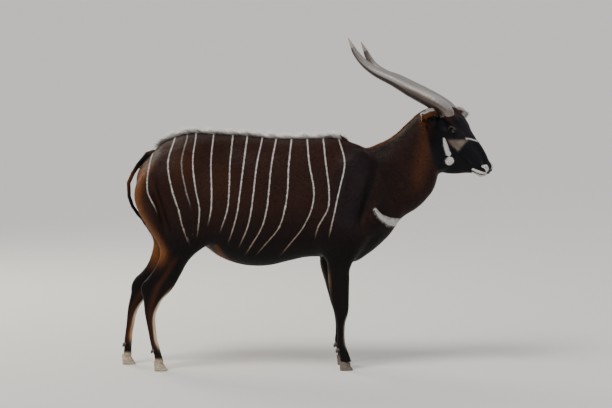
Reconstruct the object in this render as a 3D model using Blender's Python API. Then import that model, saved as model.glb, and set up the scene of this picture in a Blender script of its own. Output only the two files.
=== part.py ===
"""A life-size standing bull bongo antelope, as still solids: head, neck, torso, tail, legs, ears,
eyes, horns and claws. Metres, +Z up, +X towards the head, -Y the animal's right side."""

import math
import random

import bmesh
import bpy
import numpy as np
from mathutils import Matrix, Vector

# Frame and gaps
GAP = 0.0003                  # clear space between two neighbouring nodes
SHIFT = (0.0139, 0.0124, 0.0)   # the body's own frame in the part's, which centres the whole
FLESH_TRIANGLES = 6100
COARSE = 0.012                 # grid steps: the body and legs, and the head and everything across
FINE = 0.0055
BODY_FULLNESS = 2.25           # how square the sections are: 2 is an ellipse
LIMB_FULLNESS = 2.2
SEED = 7

# Torso, in upright sections from the rump to the chest:
# station x, top z, bottom z, half width, height of the widest point
TORSO = (
    (-0.940, 1.070, 0.960, 0.060, 1.020),
    (-0.905, 1.130, 0.880, 0.105, 1.010),
    (-0.850, 1.190, 0.810, 0.140, 1.000),
    (-0.800, 1.240, 0.770, 0.165, 0.995),
    (-0.740, 1.272, 0.745, 0.185, 0.990),
    (-0.680, 1.291, 0.725, 0.196, 0.980),
    (-0.620, 1.299, 0.700, 0.200, 0.970),
    (-0.560, 1.295, 0.668, 0.200, 0.955),
    (-0.500, 1.292, 0.624, 0.206, 0.940),
    (-0.440, 1.290, 0.594, 0.216, 0.925),
    (-0.360, 1.286, 0.570, 0.230, 0.910),
    (-0.280, 1.279, 0.562, 0.240, 0.905),
    (-0.200, 1.270, 0.568, 0.243, 0.905),
    (-0.100, 1.268, 0.592, 0.238, 0.910),
    (0.000, 1.269, 0.612, 0.226, 0.920),
    (0.080, 1.270, 0.612, 0.210, 0.925),
    (0.150, 1.268, 0.596, 0.196, 0.925),
    (0.210, 1.246, 0.580, 0.184, 0.915),
    (0.270, 1.205, 0.590, 0.172, 0.905),
    (0.330, 1.150, 0.628, 0.158, 0.900),
    (0.390, 1.080, 0.676, 0.138, 0.895),
    (0.440, 1.000, 0.726, 0.105, 0.885),
    (0.475, 0.930, 0.770, 0.070, 0.865),
)

# Neck, in upright sections: station x, top z, bottom z, half width, height of the widest point, y
NECK = (
    (0.120, 1.225, 0.760, 0.120, 0.990, 0.000),
    (0.200, 1.236, 0.720, 0.140, 0.985, 0.000),
    (0.265, 1.226, 0.720, 0.148, 0.980, 0.000),
    (0.330, 1.217, 0.730, 0.148, 0.980, 0.000),
    (0.385, 1.237, 0.750, 0.143, 0.990, -0.002),
    (0.440, 1.263, 0.778, 0.137, 1.010, -0.006),
    (0.495, 1.302, 0.816, 0.130, 1.040, -0.012),
    (0.545, 1.350, 0.850, 0.123, 1.080, -0.019),
    (0.600, 1.397, 0.886, 0.116, 1.120, -0.027),
    (0.650, 1.420, 0.936, 0.108, 1.160, -0.035),
    (0.690, 1.425, 0.995, 0.098, 1.200, -0.042),
    (0.715, 1.420, 1.060, 0.085, 1.240, -0.047),
)

# Hind leg, in level sections: station z, front x, rear x, half width, distance from the midline
HIND_LEG = (
    (1.200, -0.600, -0.800, 0.060, 0.080),
    (1.130, -0.540, -0.865, 0.085, 0.095),
    (1.045, -0.500, -0.930, 0.100, 0.108),
    (0.960, -0.482, -0.948, 0.104, 0.118),
    (0.880, -0.482, -0.926, 0.100, 0.124),
    (0.820, -0.495, -0.892, 0.093, 0.127),
    (0.766, -0.515, -0.859, 0.085, 0.127),
    (0.722, -0.540, -0.832, 0.078, 0.126),
    (0.678, -0.575, -0.812, 0.070, 0.124),
    (0.634, -0.624, -0.811, 0.063, 0.122),
    (0.590, -0.659, -0.826, 0.056, 0.121),
    (0.552, -0.679, -0.848, 0.050, 0.120),
    (0.513, -0.700, -0.877, 0.045, 0.120),
    (0.486, -0.715, -0.902, 0.042, 0.120),
    (0.460, -0.731, -0.914, 0.041, 0.120),
    (0.432, -0.754, -0.913, 0.040, 0.120),
    (0.400, -0.785, -0.903, 0.037, 0.120),
    (0.360, -0.810, -0.898, 0.033, 0.120),
    (0.320, -0.826, -0.894, 0.028, 0.120),
    (0.278, -0.831, -0.887, 0.025, 0.120),
    (0.223, -0.827, -0.876, 0.023, 0.120),
    (0.168, -0.820, -0.866, 0.024, 0.120),
    (0.132, -0.810, -0.858, 0.030, 0.120),
    (0.105, -0.803, -0.849, 0.031, 0.120),
    (0.078, -0.795, -0.842, 0.030, 0.120),
    (0.030, -0.780, -0.838, 0.033, 0.120),
)
# The left hind leg stands further back: height, shift along X
HIND_LEG_BACK = (
    (1.200, 0.000), (0.850, 0.000), (0.750, -0.028), (0.630, -0.050), (0.530, -0.044),
    (0.457, -0.056), (0.430, -0.066), (0.374, -0.085), (0.300, -0.108), (0.220, -0.131),
    (0.140, -0.157), (0.080, -0.178), (0.030, -0.192),
)

# Foreleg, in level sections, as the hind leg
FORELEG = (
    (0.900, 0.330, 0.120, 0.066, 0.108),
    (0.830, 0.360, 0.085, 0.078, 0.112),
    (0.760, 0.345, 0.062, 0.078, 0.114),
    (0.700, 0.310, 0.062, 0.073, 0.114),
    (0.650, 0.280, 0.074, 0.065, 0.113),
    (0.600, 0.250, 0.100, 0.057, 0.111),
    (0.560, 0.234, 0.105, 0.050, 0.109),
    (0.500, 0.231, 0.109, 0.044, 0.106),
    (0.440, 0.229, 0.115, 0.040, 0.104),
    (0.388, 0.228, 0.125, 0.038, 0.103),
    (0.345, 0.227, 0.134, 0.038, 0.102),
    (0.310, 0.222, 0.145, 0.035, 0.102),
    (0.270, 0.210, 0.153, 0.028, 0.102),
    (0.215, 0.205, 0.159, 0.024, 0.102),
    (0.170, 0.206, 0.159, 0.024, 0.102),
    (0.140, 0.210, 0.157, 0.029, 0.102),
    (0.115, 0.218, 0.160, 0.031, 0.102),
    (0.090, 0.227, 0.168, 0.030, 0.102),
    (0.030, 0.248, 0.180, 0.033, 0.102),
)
FORELEG_BACK = (
    (0.900, 0.000), (0.700, -0.018), (0.570, -0.040), (0.440, -0.017), (0.360, -0.010), (0.030, -0.012),
)

# Muscle and bone under the skin of each side, added to the body:
# centre, radii, the distance it is rounded in over, tilt
BODY_FORMS = (
    ((0.235, 0.112, 1.010), (0.105, 0.074, 0.210), 0.06, 0.28),     # shoulder blade
    ((0.330, 0.105, 0.860), (0.075, 0.066, 0.090), 0.06, -0.3),     # point of the shoulder
    ((0.165, 0.128, 0.760), (0.120, 0.062, 0.075), 0.06, 0.25),     # upper arm
    ((-0.590, 0.105, 1.195), (0.110, 0.080, 0.060), 0.08, 0.1),     # hip
    ((-0.700, 0.115, 0.980), (0.185, 0.098, 0.200), 0.06, 0.2),     # haunch
    ((-0.560, 0.132, 0.790), (0.075, 0.058, 0.090), 0.06, 0.35),    # stifle
)

# Head frame: from the poll, turned towards the animal's right and pitched down
HEAD_AT = (0.703, -0.045, 1.387)
HEAD_YAW = math.radians(27)
HEAD_PITCH = math.radians(40)

# Head, in sections square to the face's axis: station, top, bottom, half width, height of the widest
HEAD = (
    (-0.060, 0.060, -0.060, 0.048, 0.000),
    (-0.020, 0.078, -0.120, 0.068, 0.000),
    (0.030, 0.088, -0.165, 0.077, 0.005),
    (0.080, 0.094, -0.198, 0.080, 0.010),
    (0.120, 0.096, -0.214, 0.080, 0.010),
    (0.160, 0.088, -0.219, 0.077, 0.006),
    (0.205, 0.076, -0.214, 0.071, -0.004),
    (0.245, 0.067, -0.195, 0.064, -0.012),
    (0.290, 0.060, -0.155, 0.055, -0.015),
    (0.325, 0.051, -0.117, 0.049, -0.020),
    (0.352, 0.041, -0.093, 0.046, -0.022),
    (0.376, 0.029, -0.077, 0.044, -0.024),
    (0.398, 0.016, -0.065, 0.043, -0.025),
    (0.416, 0.003, -0.052, 0.038, -0.025),
    (0.429, -0.009, -0.040, 0.026, -0.025),
)

# Forms of each side of the head, as the body's
HEAD_FORMS = (
    ((0.132, 0.054, 0.054), (0.050, 0.026, 0.026), 0.030, 0.35),    # brow
    ((0.172, 0.050, -0.010), (0.075, 0.022, 0.020), 0.030, 0.20),   # cheek bone
    ((0.165, 0.050, -0.110), (0.070, 0.028, 0.085), 0.040, -0.2),   # jaw muscle
    ((0.394, 0.024, -0.006), (0.034, 0.022, 0.020), 0.016, 0.3),    # side of the nose
    ((0.386, 0.016, -0.047), (0.034, 0.026, 0.018), 0.014, 0.35),   # chin
    ((0.060, 0.052, 0.060), (0.062, 0.040, 0.036), 0.026, 0.2),     # boss under the horn
)
CHEEK_HOLLOW = ((0.285, 0.078, -0.055), (0.070, 0.022, 0.045), 0.030, 0.3)

# Nostril: a bent slot through three points, with a radius at each
NOSTRIL = ((0.421, 0.021, -0.013), (0.403, 0.034, 0.005), (0.389, 0.037, -0.003))
NOSTRIL_RADII = (0.0065, 0.0045, 0.0030)

# Mouth: height at the lips' front, slope towards the corner, corner, half height and depth
MOUTH_FRONT = (0.429, -0.035)
MOUTH_SLOPE = 0.46
MOUTH_CORNER = 0.343
MOUTH_HALF_HEIGHT = 0.0030
MOUTH_DEPTH = 0.009

# Ears: where each leaves the head, in its frame; which way it points and opens, in the animal's
EAR_BASE = (0.028, 0.068, -0.015)
EAR_LENGTH = 0.195
EAR_HALF_WIDTH = 0.062
EAR_CUP = 0.052
EAR_THICK = 0.014
EAR_PARTING = 0.034           # the ear is its own node from here outwards
EAR_ROOM_ACROSS = 0.085
EAR_ROOM_OPEN = 0.062
EAR_ROOT = ((-0.035, 0.0, 0.0), (0.030, 0.0, -0.020))    # the thick base, in the ear's own axes
EAR_ROOT_RADII = (0.030, 0.024)
EAR_RIGHT = ((-0.37, -0.82, 0.36), (0.72, -0.53, -0.45))
EAR_LEFT = ((0.70, 0.71, 0.18), (0.75, -0.60, -0.20))

# Eyes: centre in the head frame, ball radius, opening between the lids
EYE_AT = (0.142, 0.058, 0.036)
EYE_RADIUS = 0.0205
LID_THICK = 0.004
LID_HALF_LENGTH = 0.020
LID_HALF_HEIGHT = 0.0115

# Horn centre lines in the head frame: along the face, out from the middle, up; then the radius
HORN_RIGHT = (
    (0.080, 0.040, 0.040, 0.022), (0.060, 0.052, 0.068, 0.036), (0.024, 0.056, 0.082, 0.040),
    (-0.040, 0.060, 0.075, 0.041), (-0.125, 0.063, 0.050, 0.039), (-0.195, 0.069, 0.031, 0.037),
    (-0.295, 0.075, 0.008, 0.033), (-0.405, 0.082, -0.025, 0.028), (-0.485, 0.087, -0.035, 0.023),
    (-0.555, 0.087, -0.029, 0.018), (-0.600, 0.084, -0.017, 0.012), (-0.655, 0.078, 0.002, 0.002),
)
HORN_LEFT = (
    (0.078, 0.040, 0.034, 0.022), (0.058, 0.052, 0.050, 0.035), (0.018, 0.056, 0.060, 0.038),
    (-0.046, 0.060, 0.052, 0.040), (-0.150, 0.063, 0.026, 0.039), (-0.220, 0.069, 0.004, 0.037),
    (-0.330, 0.075, -0.030, 0.033), (-0.405, 0.082, -0.060, 0.028), (-0.485, 0.087, -0.073, 0.023),
    (-0.545, 0.087, -0.060, 0.018), (-0.587, 0.084, -0.042, 0.012), (-0.635, 0.078, -0.020, 0.002),
)
HORN_KEEL = 0.12              # how far the keel stands out, over the radius
HORN_TWIST = math.radians(200)
HORN_LEAN = 0.9               # where the keel starts, round the horn
HORN_SIDES = 14

# Tail centre line: x, y, z, radius
TAIL = (
    (-0.840, 0.000, 1.188, 0.020), (-0.876, 0.000, 1.178, 0.018), (-0.925, 0.000, 1.124, 0.015),
    (-0.957, 0.000, 1.075, 0.0135), (-0.981, 0.000, 1.022, 0.0130), (-0.979, 0.000, 0.948, 0.0125),
    (-0.962, 0.000, 0.896, 0.0120), (-0.932, 0.002, 0.850, 0.0115), (-0.893, 0.004, 0.809, 0.0115),
    (-0.862, 0.006, 0.770, 0.0115), (-0.832, 0.008, 0.725, 0.010), (-0.815, 0.008, 0.690, 0.006),
)
TAIL_SIDES = 10
TAIL_DIVIDE = 6               # the tail is two lengths, parted at this point of its centre line

# Crest of bristles along the back, and the tuft at the tail's end
CREST_START = -0.785
CREST_END = 0.190
CREST_LOCKS = 54
CREST_LENGTH = 0.056
CREST_WIDTH = 0.026
CREST_THICK = 0.007
CREST_SUNK = 0.012
TUFT_LOCKS = 12
TUFT_RING = 6                 # locks in one ring round the tail
TUFT_LENGTH = 0.085
TUFT_WIDTH = 0.011
TUFT_THICK = 0.007

# Claws of the hooves: length, width and height of one claw, and the slope of its toe
CLAW_LENGTH = 0.078
CLAW_WIDTH = 0.031
CLAW_HEIGHT = 0.050
CLAW_TOE_SLOPE = 0.62
CLAW_CLEFT = 0.0035
CLAW_SIDES = 12
CORONET_Z = 0.050
DEWCLAW_Z = 0.112
DEWCLAW_PATH = ((0.012, 0.0, 0.006), (-0.002, 0.002, -0.002), (-0.010, 0.003, -0.014))
DEWCLAW_RADII = (0.0085, 0.0085, 0.0040)
DEWCLAW_OUT = 0.016           # from the leg's middle

# Where the flesh is parted: planes of (point, outward normal) round each piece
HEAD_CUT = (((0.687, -0.040, 1.235), (-0.945, 0.245, -0.218)),)
NECK_CUT = (((0.365, 0.0, 0.990), (-0.938, 0.0, -0.347)),)
HIND_CUT = (((-0.545, 0, 0), (1, 0, 0)), ((-0.740, 0, 0.840), (0.588, 0, 0.809)),
            ((-0.930, 0, 0.980), (0, 0, 1)))
FRONT_APART = 0.042           # the forelegs' inner cuts stand this far from the midline
FRONT_CUT = (((0.020, 0, 0), (-1, 0, 0)), ((0.450, 0, 0), (1, 0, 0)), ((0, 0, 0.655), (0, 0, 1)))


def head_frame():
    """The matrix from the head's own axes (along the face, left, up) to the animal's frame."""
    forward = Vector((math.cos(HEAD_YAW) * math.cos(HEAD_PITCH),
                      -math.sin(HEAD_YAW) * math.cos(HEAD_PITCH),
                      -math.sin(HEAD_PITCH)))
    left = Vector((math.sin(HEAD_YAW), math.cos(HEAD_YAW), 0))
    up = forward.cross(left)
    turn = Matrix((forward, left, up)).transposed().to_4x4()
    return Matrix.Translation(HEAD_AT) @ turn


def smooth(stations, column):
    """A smooth curve through one column of a station table, as a function of the first column."""
    table = sorted((row[0], row[column]) for row in stations)
    at = np.array([row[0] for row in table])
    value = np.array([row[1] for row in table])
    slope = np.gradient(value, at)

    def curve(s):
        s = np.clip(s, at[0], at[-1])
        i = np.clip(np.searchsorted(at, s, side="right") - 1, 0, len(at) - 2)
        width = at[i + 1] - at[i]
        t = (s - at[i]) / width
        t2 = t * t
        t3 = t2 * t
        return ((2 * t3 - 3 * t2 + 1) * value[i] + (t3 - 2 * t2 + t) * width * slope[i]
                + (3 * t2 - 2 * t3) * value[i + 1] + (t3 - t2) * width * slope[i + 1])

    return curve


def blend_in(a, b, k):
    """The union of two fields, rounded over a distance k where they meet."""
    h = np.maximum(k - np.abs(a - b), 0) / k
    return np.minimum(a, b) - h * h * k * 0.25


def carve_out(a, b, k):
    """Field a with field b taken away, rounded over a distance k."""
    return -blend_in(-a, b, k)


def section(high, wide, top, bottom, half, fullness):
    """About how far a point lies outside a rounded section, measured from its widest height."""
    reach = np.where(high > 0, top, bottom)
    u = np.abs(high) / reach + 1e-6
    v = np.abs(wide) / half + 1e-6
    rho = (u ** fullness + v ** fullness) ** (1 / fullness)
    steep = rho ** (1 - fullness)
    return (rho - 1) / np.hypot(u ** (fullness - 1) * steep / reach, v ** (fullness - 1) * steep / half)


def ball(x, y, z, centre, radii, turn=None):
    """About how far a point lies outside an ellipsoid, turned by a matrix if one is given."""
    px, py, pz = x - centre[0], y - centre[1], z - centre[2]
    if turn is not None:
        m = np.array(turn.to_3x3())
        px, py, pz = (m[0, i] * px + m[1, i] * py + m[2, i] * pz for i in range(3))
    rx, ry, rz = radii
    k0 = np.sqrt((px / rx) ** 2 + (py / ry) ** 2 + (pz / rz) ** 2) + 1e-6
    k1 = np.sqrt((px / rx ** 2) ** 2 + (py / ry ** 2) ** 2 + (pz / rz ** 2) ** 2) + 1e-6
    return k0 * (k0 - 1) / k1


def rod(x, y, z, a, b, ra, rb):
    """How far a point lies outside a rod from a to b with a radius at each end."""
    a, b = np.array(a), np.array(b)
    d = b - a
    px, py, pz = x - a[0], y - a[1], z - a[2]
    t = np.clip((px * d[0] + py * d[1] + pz * d[2]) / (d @ d), 0, 1)
    return np.sqrt((px - t * d[0]) ** 2 + (py - t * d[1]) ** 2 + (pz - t * d[2]) ** 2) - (ra + (rb - ra) * t)


class Flesh:
    """A field on a grid, below zero inside the flesh."""

    FAR = 0.5
    MARGIN = 0.09

    def __init__(self, xs, ys, zs):
        self.axes = (xs, ys, zs)
        self.field = np.full((len(xs), len(ys), len(zs)), self.FAR, np.float32)

    def window(self, low, high):
        cut = []
        for axis, lo, hi in zip(self.axes, low, high):
            first = np.searchsorted(axis, lo - self.MARGIN)
            last = np.searchsorted(axis, hi + self.MARGIN)
            cut.append(slice(first, max(last, first)))
        cut = tuple(cut)
        x = self.axes[0][cut[0]][:, None, None]
        y = self.axes[1][cut[1]][None, :, None]
        z = self.axes[2][cut[2]][None, None, :]
        return cut, x, y, z

    def add(self, low, high, shape, k):
        cut, x, y, z = self.window(low, high)
        if self.field[cut].size:
            self.field[cut] = blend_in(self.field[cut], shape(x, y, z), k)

    def carve(self, low, high, shape, k):
        cut, x, y, z = self.window(low, high)
        if self.field[cut].size:
            self.field[cut] = carve_out(self.field[cut], shape(x, y, z), k)


def trunk_shape(stations, fullness):
    top, bottom, half, wide_z = (smooth(stations, c) for c in (1, 2, 3, 4))
    offset = smooth(stations, 5) if len(stations[0]) > 5 else (lambda s: 0 * s)
    first, last = stations[0][0], stations[-1][0]

    def shape(x, y, z):
        z0 = wide_z(x)
        d = section(z - z0, y - offset(x), top(x) - z0, z0 - bottom(x), half(x), fullness)
        ends = np.maximum(first - x, x - last)
        return -blend_in(-d, -ends, 0.03)

    return shape


def leg_shape(stations, back, side, fullness):
    front, rear, half, out = (smooth(stations, c) for c in (1, 2, 3, 4))
    shift = smooth(back, 1) if back else (lambda s: 0 * s)
    top, foot = stations[0][0], stations[-1][0]

    def shape(x, y, z):
        x_front = front(z) + shift(z)
        x_rear = rear(z) + shift(z)
        middle = (x_front + x_rear) / 2
        reach = (x_front - x_rear) / 2
        d = section(x - middle, y - side * out(z), reach, reach, half(z), fullness)
        return np.maximum(-blend_in(-d, -(z - top), 0.03), foot - z)

    return shape


def head_shape(stations, fullness):
    top, bottom, half, wide = (smooth(stations, c) for c in (1, 2, 3, 4))
    first, last = stations[0][0], stations[-1][0]

    def shape(s, l, t):
        t0 = wide(s)
        d = section(t - t0, l, top(s) - t0, t0 - bottom(s), half(s), fullness)
        ends = np.maximum(first - s, s - last)
        return -blend_in(-d, -ends, 0.035)

    return shape


def rod_chain(points, radii):
    """A round limb through several points."""

    def shape(x, y, z):
        d = None
        for a, b, ra, rb in zip(points, points[1:], radii, radii[1:]):
            e = rod(x, y, z, a, b, ra, rb)
            d = e if d is None else np.minimum(d, e)
        return d

    return shape


def unit(v):
    return Vector(v).normalized()


def ear_frame(side):
    """The matrix from an ear's own axes (along it, across it, the way it opens) to the frame."""
    along, opens = EAR_RIGHT if side < 0 else EAR_LEFT
    a = unit(along)
    c = unit(opens)
    c = (c - a * c.dot(a)).normalized()
    b = c.cross(a)
    turn = Matrix((a, b, c)).transposed().to_4x4()
    base = head_frame() @ Vector((EAR_BASE[0], side * EAR_BASE[1], EAR_BASE[2]))
    return Matrix.Translation(base) @ turn


def ear_shape(a, b, c):
    """A cupped leaf: narrow and tubular at its root, broad in the middle, bluntly pointed."""
    u = np.clip(a / EAR_LENGTH, 0.001, 0.999)
    width = EAR_HALF_WIDTH * (0.42 + 0.58 * np.sin(math.pi * np.clip(u * 1.08, 0, 1) ** 0.9))
    width = width * np.sqrt(np.clip((1 - u) / 0.32, 0.0004, 1))
    cup = EAR_CUP * np.sqrt(1 - u) * np.clip(u / 0.25, 0.4, 1)
    v = np.clip(b / width, -1.2, 1.2)
    middle = cup * (v * v - 0.62) + 0.10 * a * u - 0.012
    slope = 2 * cup * v / width
    leaf = np.abs(c - middle) / np.sqrt(1 + slope * slope) - EAR_THICK / 2 * (1.1 - 0.4 * u)
    edge = np.maximum(np.abs(b) - width, np.abs(a - EAR_LENGTH / 2) - EAR_LENGTH / 2)
    return np.maximum(leaf, edge)


def in_frame(matrix, shape):
    """A shape given in its own axes, as one in the frame's."""
    m = np.array(matrix.inverted())

    def placed(x, y, z):
        a, b, c = (m[i, 0] * x + m[i, 1] * y + m[i, 2] * z + m[i, 3] for i in range(3))
        return shape(a, b, c)

    return placed


def reach_of(matrix, low, high):
    """The upright box round a box given in its own axes."""
    corners = [matrix @ Vector((x, y, z)) for x in (low[0], high[0]) for y in (low[1], high[1])
               for z in (low[2], high[2])]
    return tuple(tuple(f(c[i] for c in corners) for i in range(3)) for f in (min, max))


def almond(s, t):
    """About how far a point lies outside the opening between the lids."""
    lean = 0.18 * s
    high = LID_HALF_HEIGHT * (1 - (s / LID_HALF_LENGTH) ** 2)
    return (np.abs(t + lean) - high) * 0.75


def add_form(flesh, place, side, form, cut=False):
    """Add or carve one rounded form, given in the axes of a matrix, on one side of them."""
    centre, radii, k, tilt = form
    at = (centre[0], side * centre[1], centre[2])
    turn = Matrix.Rotation(tilt, 4, "Y")
    size = max(radii)
    work = flesh.carve if cut else flesh.add
    work(*reach_of(place, [c - size for c in at], [c + size for c in at]),
         in_frame(place, lambda x, y, z: ball(x, y, z, at, radii, turn)), k)


def add_head(flesh):
    frame = head_frame()
    skull = head_shape(HEAD, BODY_FULLNESS)
    flesh.add(*reach_of(frame, (-0.06, -0.10, -0.24), (0.47, 0.10, 0.12)), in_frame(frame, skull), 0.045)
    for side in (-1, 1):
        for form in HEAD_FORMS:
            add_form(flesh, frame, side, form)
        add_form(flesh, frame, side, CHEEK_HOLLOW, cut=True)

    def lids(s, l, t):
        p = (s - EYE_AT[0], np.abs(l) - EYE_AT[1], t - EYE_AT[2])
        return np.sqrt(p[0] ** 2 + p[1] ** 2 + p[2] ** 2) - EYE_RADIUS - LID_THICK

    def opening(s, l, t):
        d = almond(s - EYE_AT[0], t - EYE_AT[2])
        return np.maximum(d, EYE_AT[1] - np.abs(l))

    near = reach_of(frame, (0.12, -0.11, 0.0), (0.19, 0.11, 0.07))
    flesh.add(*near, in_frame(frame, lids), 0.008)
    flesh.carve(*near, in_frame(frame, opening), 0.003)

    def nostril(s, l, t):
        return rod_chain(NOSTRIL, NOSTRIL_RADII)(s, np.abs(l), t)

    def mouth(s, l, t):
        line = MOUTH_FRONT[1] + (s - MOUTH_FRONT[0]) * MOUTH_SLOPE
        slot = np.maximum(np.abs(t - line) - MOUTH_HALF_HEIGHT, MOUTH_CORNER - s)
        return np.maximum(slot, -(skull(s, l, t) + MOUTH_DEPTH))

    flesh.carve(*reach_of(frame, (0.38, -0.05, -0.03), (0.44, 0.05, 0.02)), in_frame(frame, nostril), 0.004)
    flesh.carve(*reach_of(frame, (0.33, -0.06, -0.10), (0.46, 0.06, -0.02)), in_frame(frame, mouth), 0.003)
    for side in (-1, 1):
        place = ear_frame(side)
        flesh.add(*reach_of(place, (-0.03, -0.08, -0.07), (0.20, 0.08, 0.07)),
                  in_frame(place, ear_shape), 0.010)
        root = rod_chain(EAR_ROOT, EAR_ROOT_RADII)
        flesh.add(*reach_of(place, (-0.06, -0.04, -0.05), (0.06, 0.04, 0.04)), in_frame(place, root), 0.018)


def add_body(flesh):
    here = Matrix.Identity(4)
    flesh.add((-0.93, -0.25, 0.58), (0.44, 0.25, 1.30), trunk_shape(TORSO, BODY_FULLNESS), 0.05)
    flesh.add((0.12, -0.20, 0.72), (0.72, 0.16, 1.43), trunk_shape(NECK, LIMB_FULLNESS), 0.07)
    for side in (-1, 1):
        back = HIND_LEG_BACK if side > 0 else None
        flesh.add((-1.02, min(0, side * 0.23), 0.02), (-0.46, max(0, side * 0.23), 1.20),
                  leg_shape(HIND_LEG, back, side, LIMB_FULLNESS), 0.035)
        back = FORELEG_BACK if side > 0 else None
        flesh.add((0.05, min(0, side * 0.21), 0.02), (0.37, max(0, side * 0.21), 0.90),
                  leg_shape(FORELEG, back, side, LIMB_FULLNESS), 0.040)
        for form in BODY_FORMS:
            add_form(flesh, here, side, form)


def steps(*spans):
    """Grid lines over spans of (start, end, step), each span running on from the last."""
    lines = [np.linspace(start, end, round((end - start) / step), endpoint=False)
             for start, end, step in spans]
    return np.concatenate(lines)


def untangle(field):
    """Fill in the few grid corners where the surface would touch itself along an edge or point."""
    barely = -1e-4
    found = True
    while found:
        found = False
        for u, v in ((0, 1), (0, 2), (1, 2)):
            corner = {}
            for i, j in np.ndindex(2, 2):
                cut = [slice(None)] * 3
                cut[u] = slice(i, field.shape[u] - 1 + i)
                cut[v] = slice(j, field.shape[v] - 1 + j)
                corner[i, j] = field[tuple(cut)]
            for a, b, c, d in (((0, 0), (1, 0), (0, 1), (1, 1)), ((1, 0), (0, 0), (1, 1), (0, 1))):
                bad = ((corner[a] < 0) & (corner[d] < 0) & (corner[b] >= 0) & (corner[c] >= 0))
                corner[b][bad] = barely
                found = found or bad.any()
        size = [n - 1 for n in field.shape]
        cube = {c: field[tuple(slice(k, k + n) for k, n in zip(c, size))] for c in np.ndindex(2, 2, 2)}
        count = sum((v < 0).astype(np.uint8) for v in cube.values())
        for c in ((0, 0, 0), (1, 0, 0), (0, 1, 0), (0, 0, 1)):
            far = tuple(1 - k for k in c)
            beside = (1 - c[0], c[1], c[2])
            apart = (count == 2) & (cube[c] < 0) & (cube[far] < 0)
            pinched = (count == 6) & (cube[c] >= 0) & (cube[far] >= 0)
            cube[beside][apart] = barely
            cube[c][pinched] = barely
            found = found or apart.any() or pinched.any()


def surface_net(flesh):
    """Points and four-cornered faces where the field crosses zero."""
    field = flesh.field
    untangle(field)
    inside = field < 0
    size = [n - 1 for n in field.shape]
    count = np.zeros(size, np.uint8)
    for corner in np.ndindex(2, 2, 2):
        count += inside[tuple(slice(c, c + n) for c, n in zip(corner, size))]
    cells = np.argwhere((count > 0) & (count < 8))
    number = np.full(size, -1, np.int32)
    number[tuple(cells.T)] = np.arange(len(cells))
    total = np.zeros((len(cells), 3))
    crossed = np.zeros(len(cells))
    for axis in range(3):
        u, v = (a for a in range(3) if a != axis)
        for i, j in np.ndindex(2, 2):
            start = np.zeros(3, int)
            start[u], start[v] = i, j
            end = start.copy()
            end[axis] = 1
            a = field[tuple((cells + start).T)]
            b = field[tuple((cells + end).T)]
            cut = (a < 0) != (b < 0)
            part = np.where(cut, a / np.where(cut, a - b, 1), 0)
            point = start + part[:, None] * (end - start)
            total[cut] += point[cut]
            crossed[cut] += 1
    points = cells + total / crossed[:, None]
    faces = []
    for axis in range(3):
        u, v = ((1, 2), (2, 0), (0, 1))[axis]
        low = [slice(None)] * 3
        high = [slice(None)] * 3
        low[axis], high[axis] = slice(0, -1), slice(1, None)
        for d in (u, v):
            low[d] = high[d] = slice(1, -1)
        a, b = inside[tuple(low)], inside[tuple(high)]
        base = np.zeros(3, int)
        base[u] = base[v] = 1
        for flip in (False, True):
            at = np.argwhere((a & ~b) if not flip else (~a & b)) + base
            back_u = np.zeros(3, int)
            back_v = np.zeros(3, int)
            back_u[u] = back_v[v] = 1
            ring = [at - back_u - back_v, at - back_v, at, at - back_u]
            quad = np.stack([number[tuple(r.T)] for r in ring], 1)
            faces.append(quad[:, ::-1] if flip else quad)
    place = [np.interp(points[:, i], np.arange(len(axis)), axis) for i, axis in enumerate(flesh.axes)]
    return np.stack(place, 1), np.concatenate(faces)


def mesh_object(name, points, faces):
    mesh = bpy.data.meshes.new(name)
    mesh.from_pydata([tuple(p) for p in points], [], [tuple(f) for f in faces])
    mesh.update()
    thing = bpy.data.objects.new(name, mesh)
    bpy.context.scene.collection.objects.link(thing)
    return thing


def from_bmesh(name, bm):
    bmesh.ops.triangulate(bm, faces=bm.faces, quad_method="FIXED")
    bmesh.ops.recalc_face_normals(bm, faces=bm.faces)
    mesh = bpy.data.meshes.new(name)
    bm.to_mesh(mesh)
    bm.free()
    thing = bpy.data.objects.new(name, mesh)
    bpy.context.scene.collection.objects.link(thing)
    return thing


def remove(thing):
    bpy.data.objects.remove(thing, do_unlink=True)


def settle(thing):
    """Replace an object's mesh by what its modifiers make of it."""
    bpy.context.view_layer.update()
    graph = bpy.context.evaluated_depsgraph_get()
    mesh = bpy.data.meshes.new_from_object(thing.evaluated_get(graph))
    thing.modifiers.clear()
    thing.data = mesh


def combine(thing, other, operation):
    boolean = thing.modifiers.new("Boolean", "BOOLEAN")
    boolean.operation = operation
    boolean.solver = "MANIFOLD"
    boolean.object = other
    settle(thing)


def combine_all(thing, others):
    """Fuse many pieces into one in a single step, and take the pieces away."""
    group = bpy.data.collections.new("Locks")
    for other in others:
        group.objects.link(other)
    boolean = thing.modifiers.new("Boolean", "BOOLEAN")
    boolean.operation = "UNION"
    boolean.solver = "MANIFOLD"
    boolean.operand_type = "COLLECTION"
    boolean.collection = group
    settle(thing)
    for other in others:
        remove(other)
    bpy.data.collections.remove(group)


def copy_of(thing, name):
    double = bpy.data.objects.new(name, thing.data.copy())
    bpy.context.scene.collection.objects.link(double)
    return double


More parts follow.
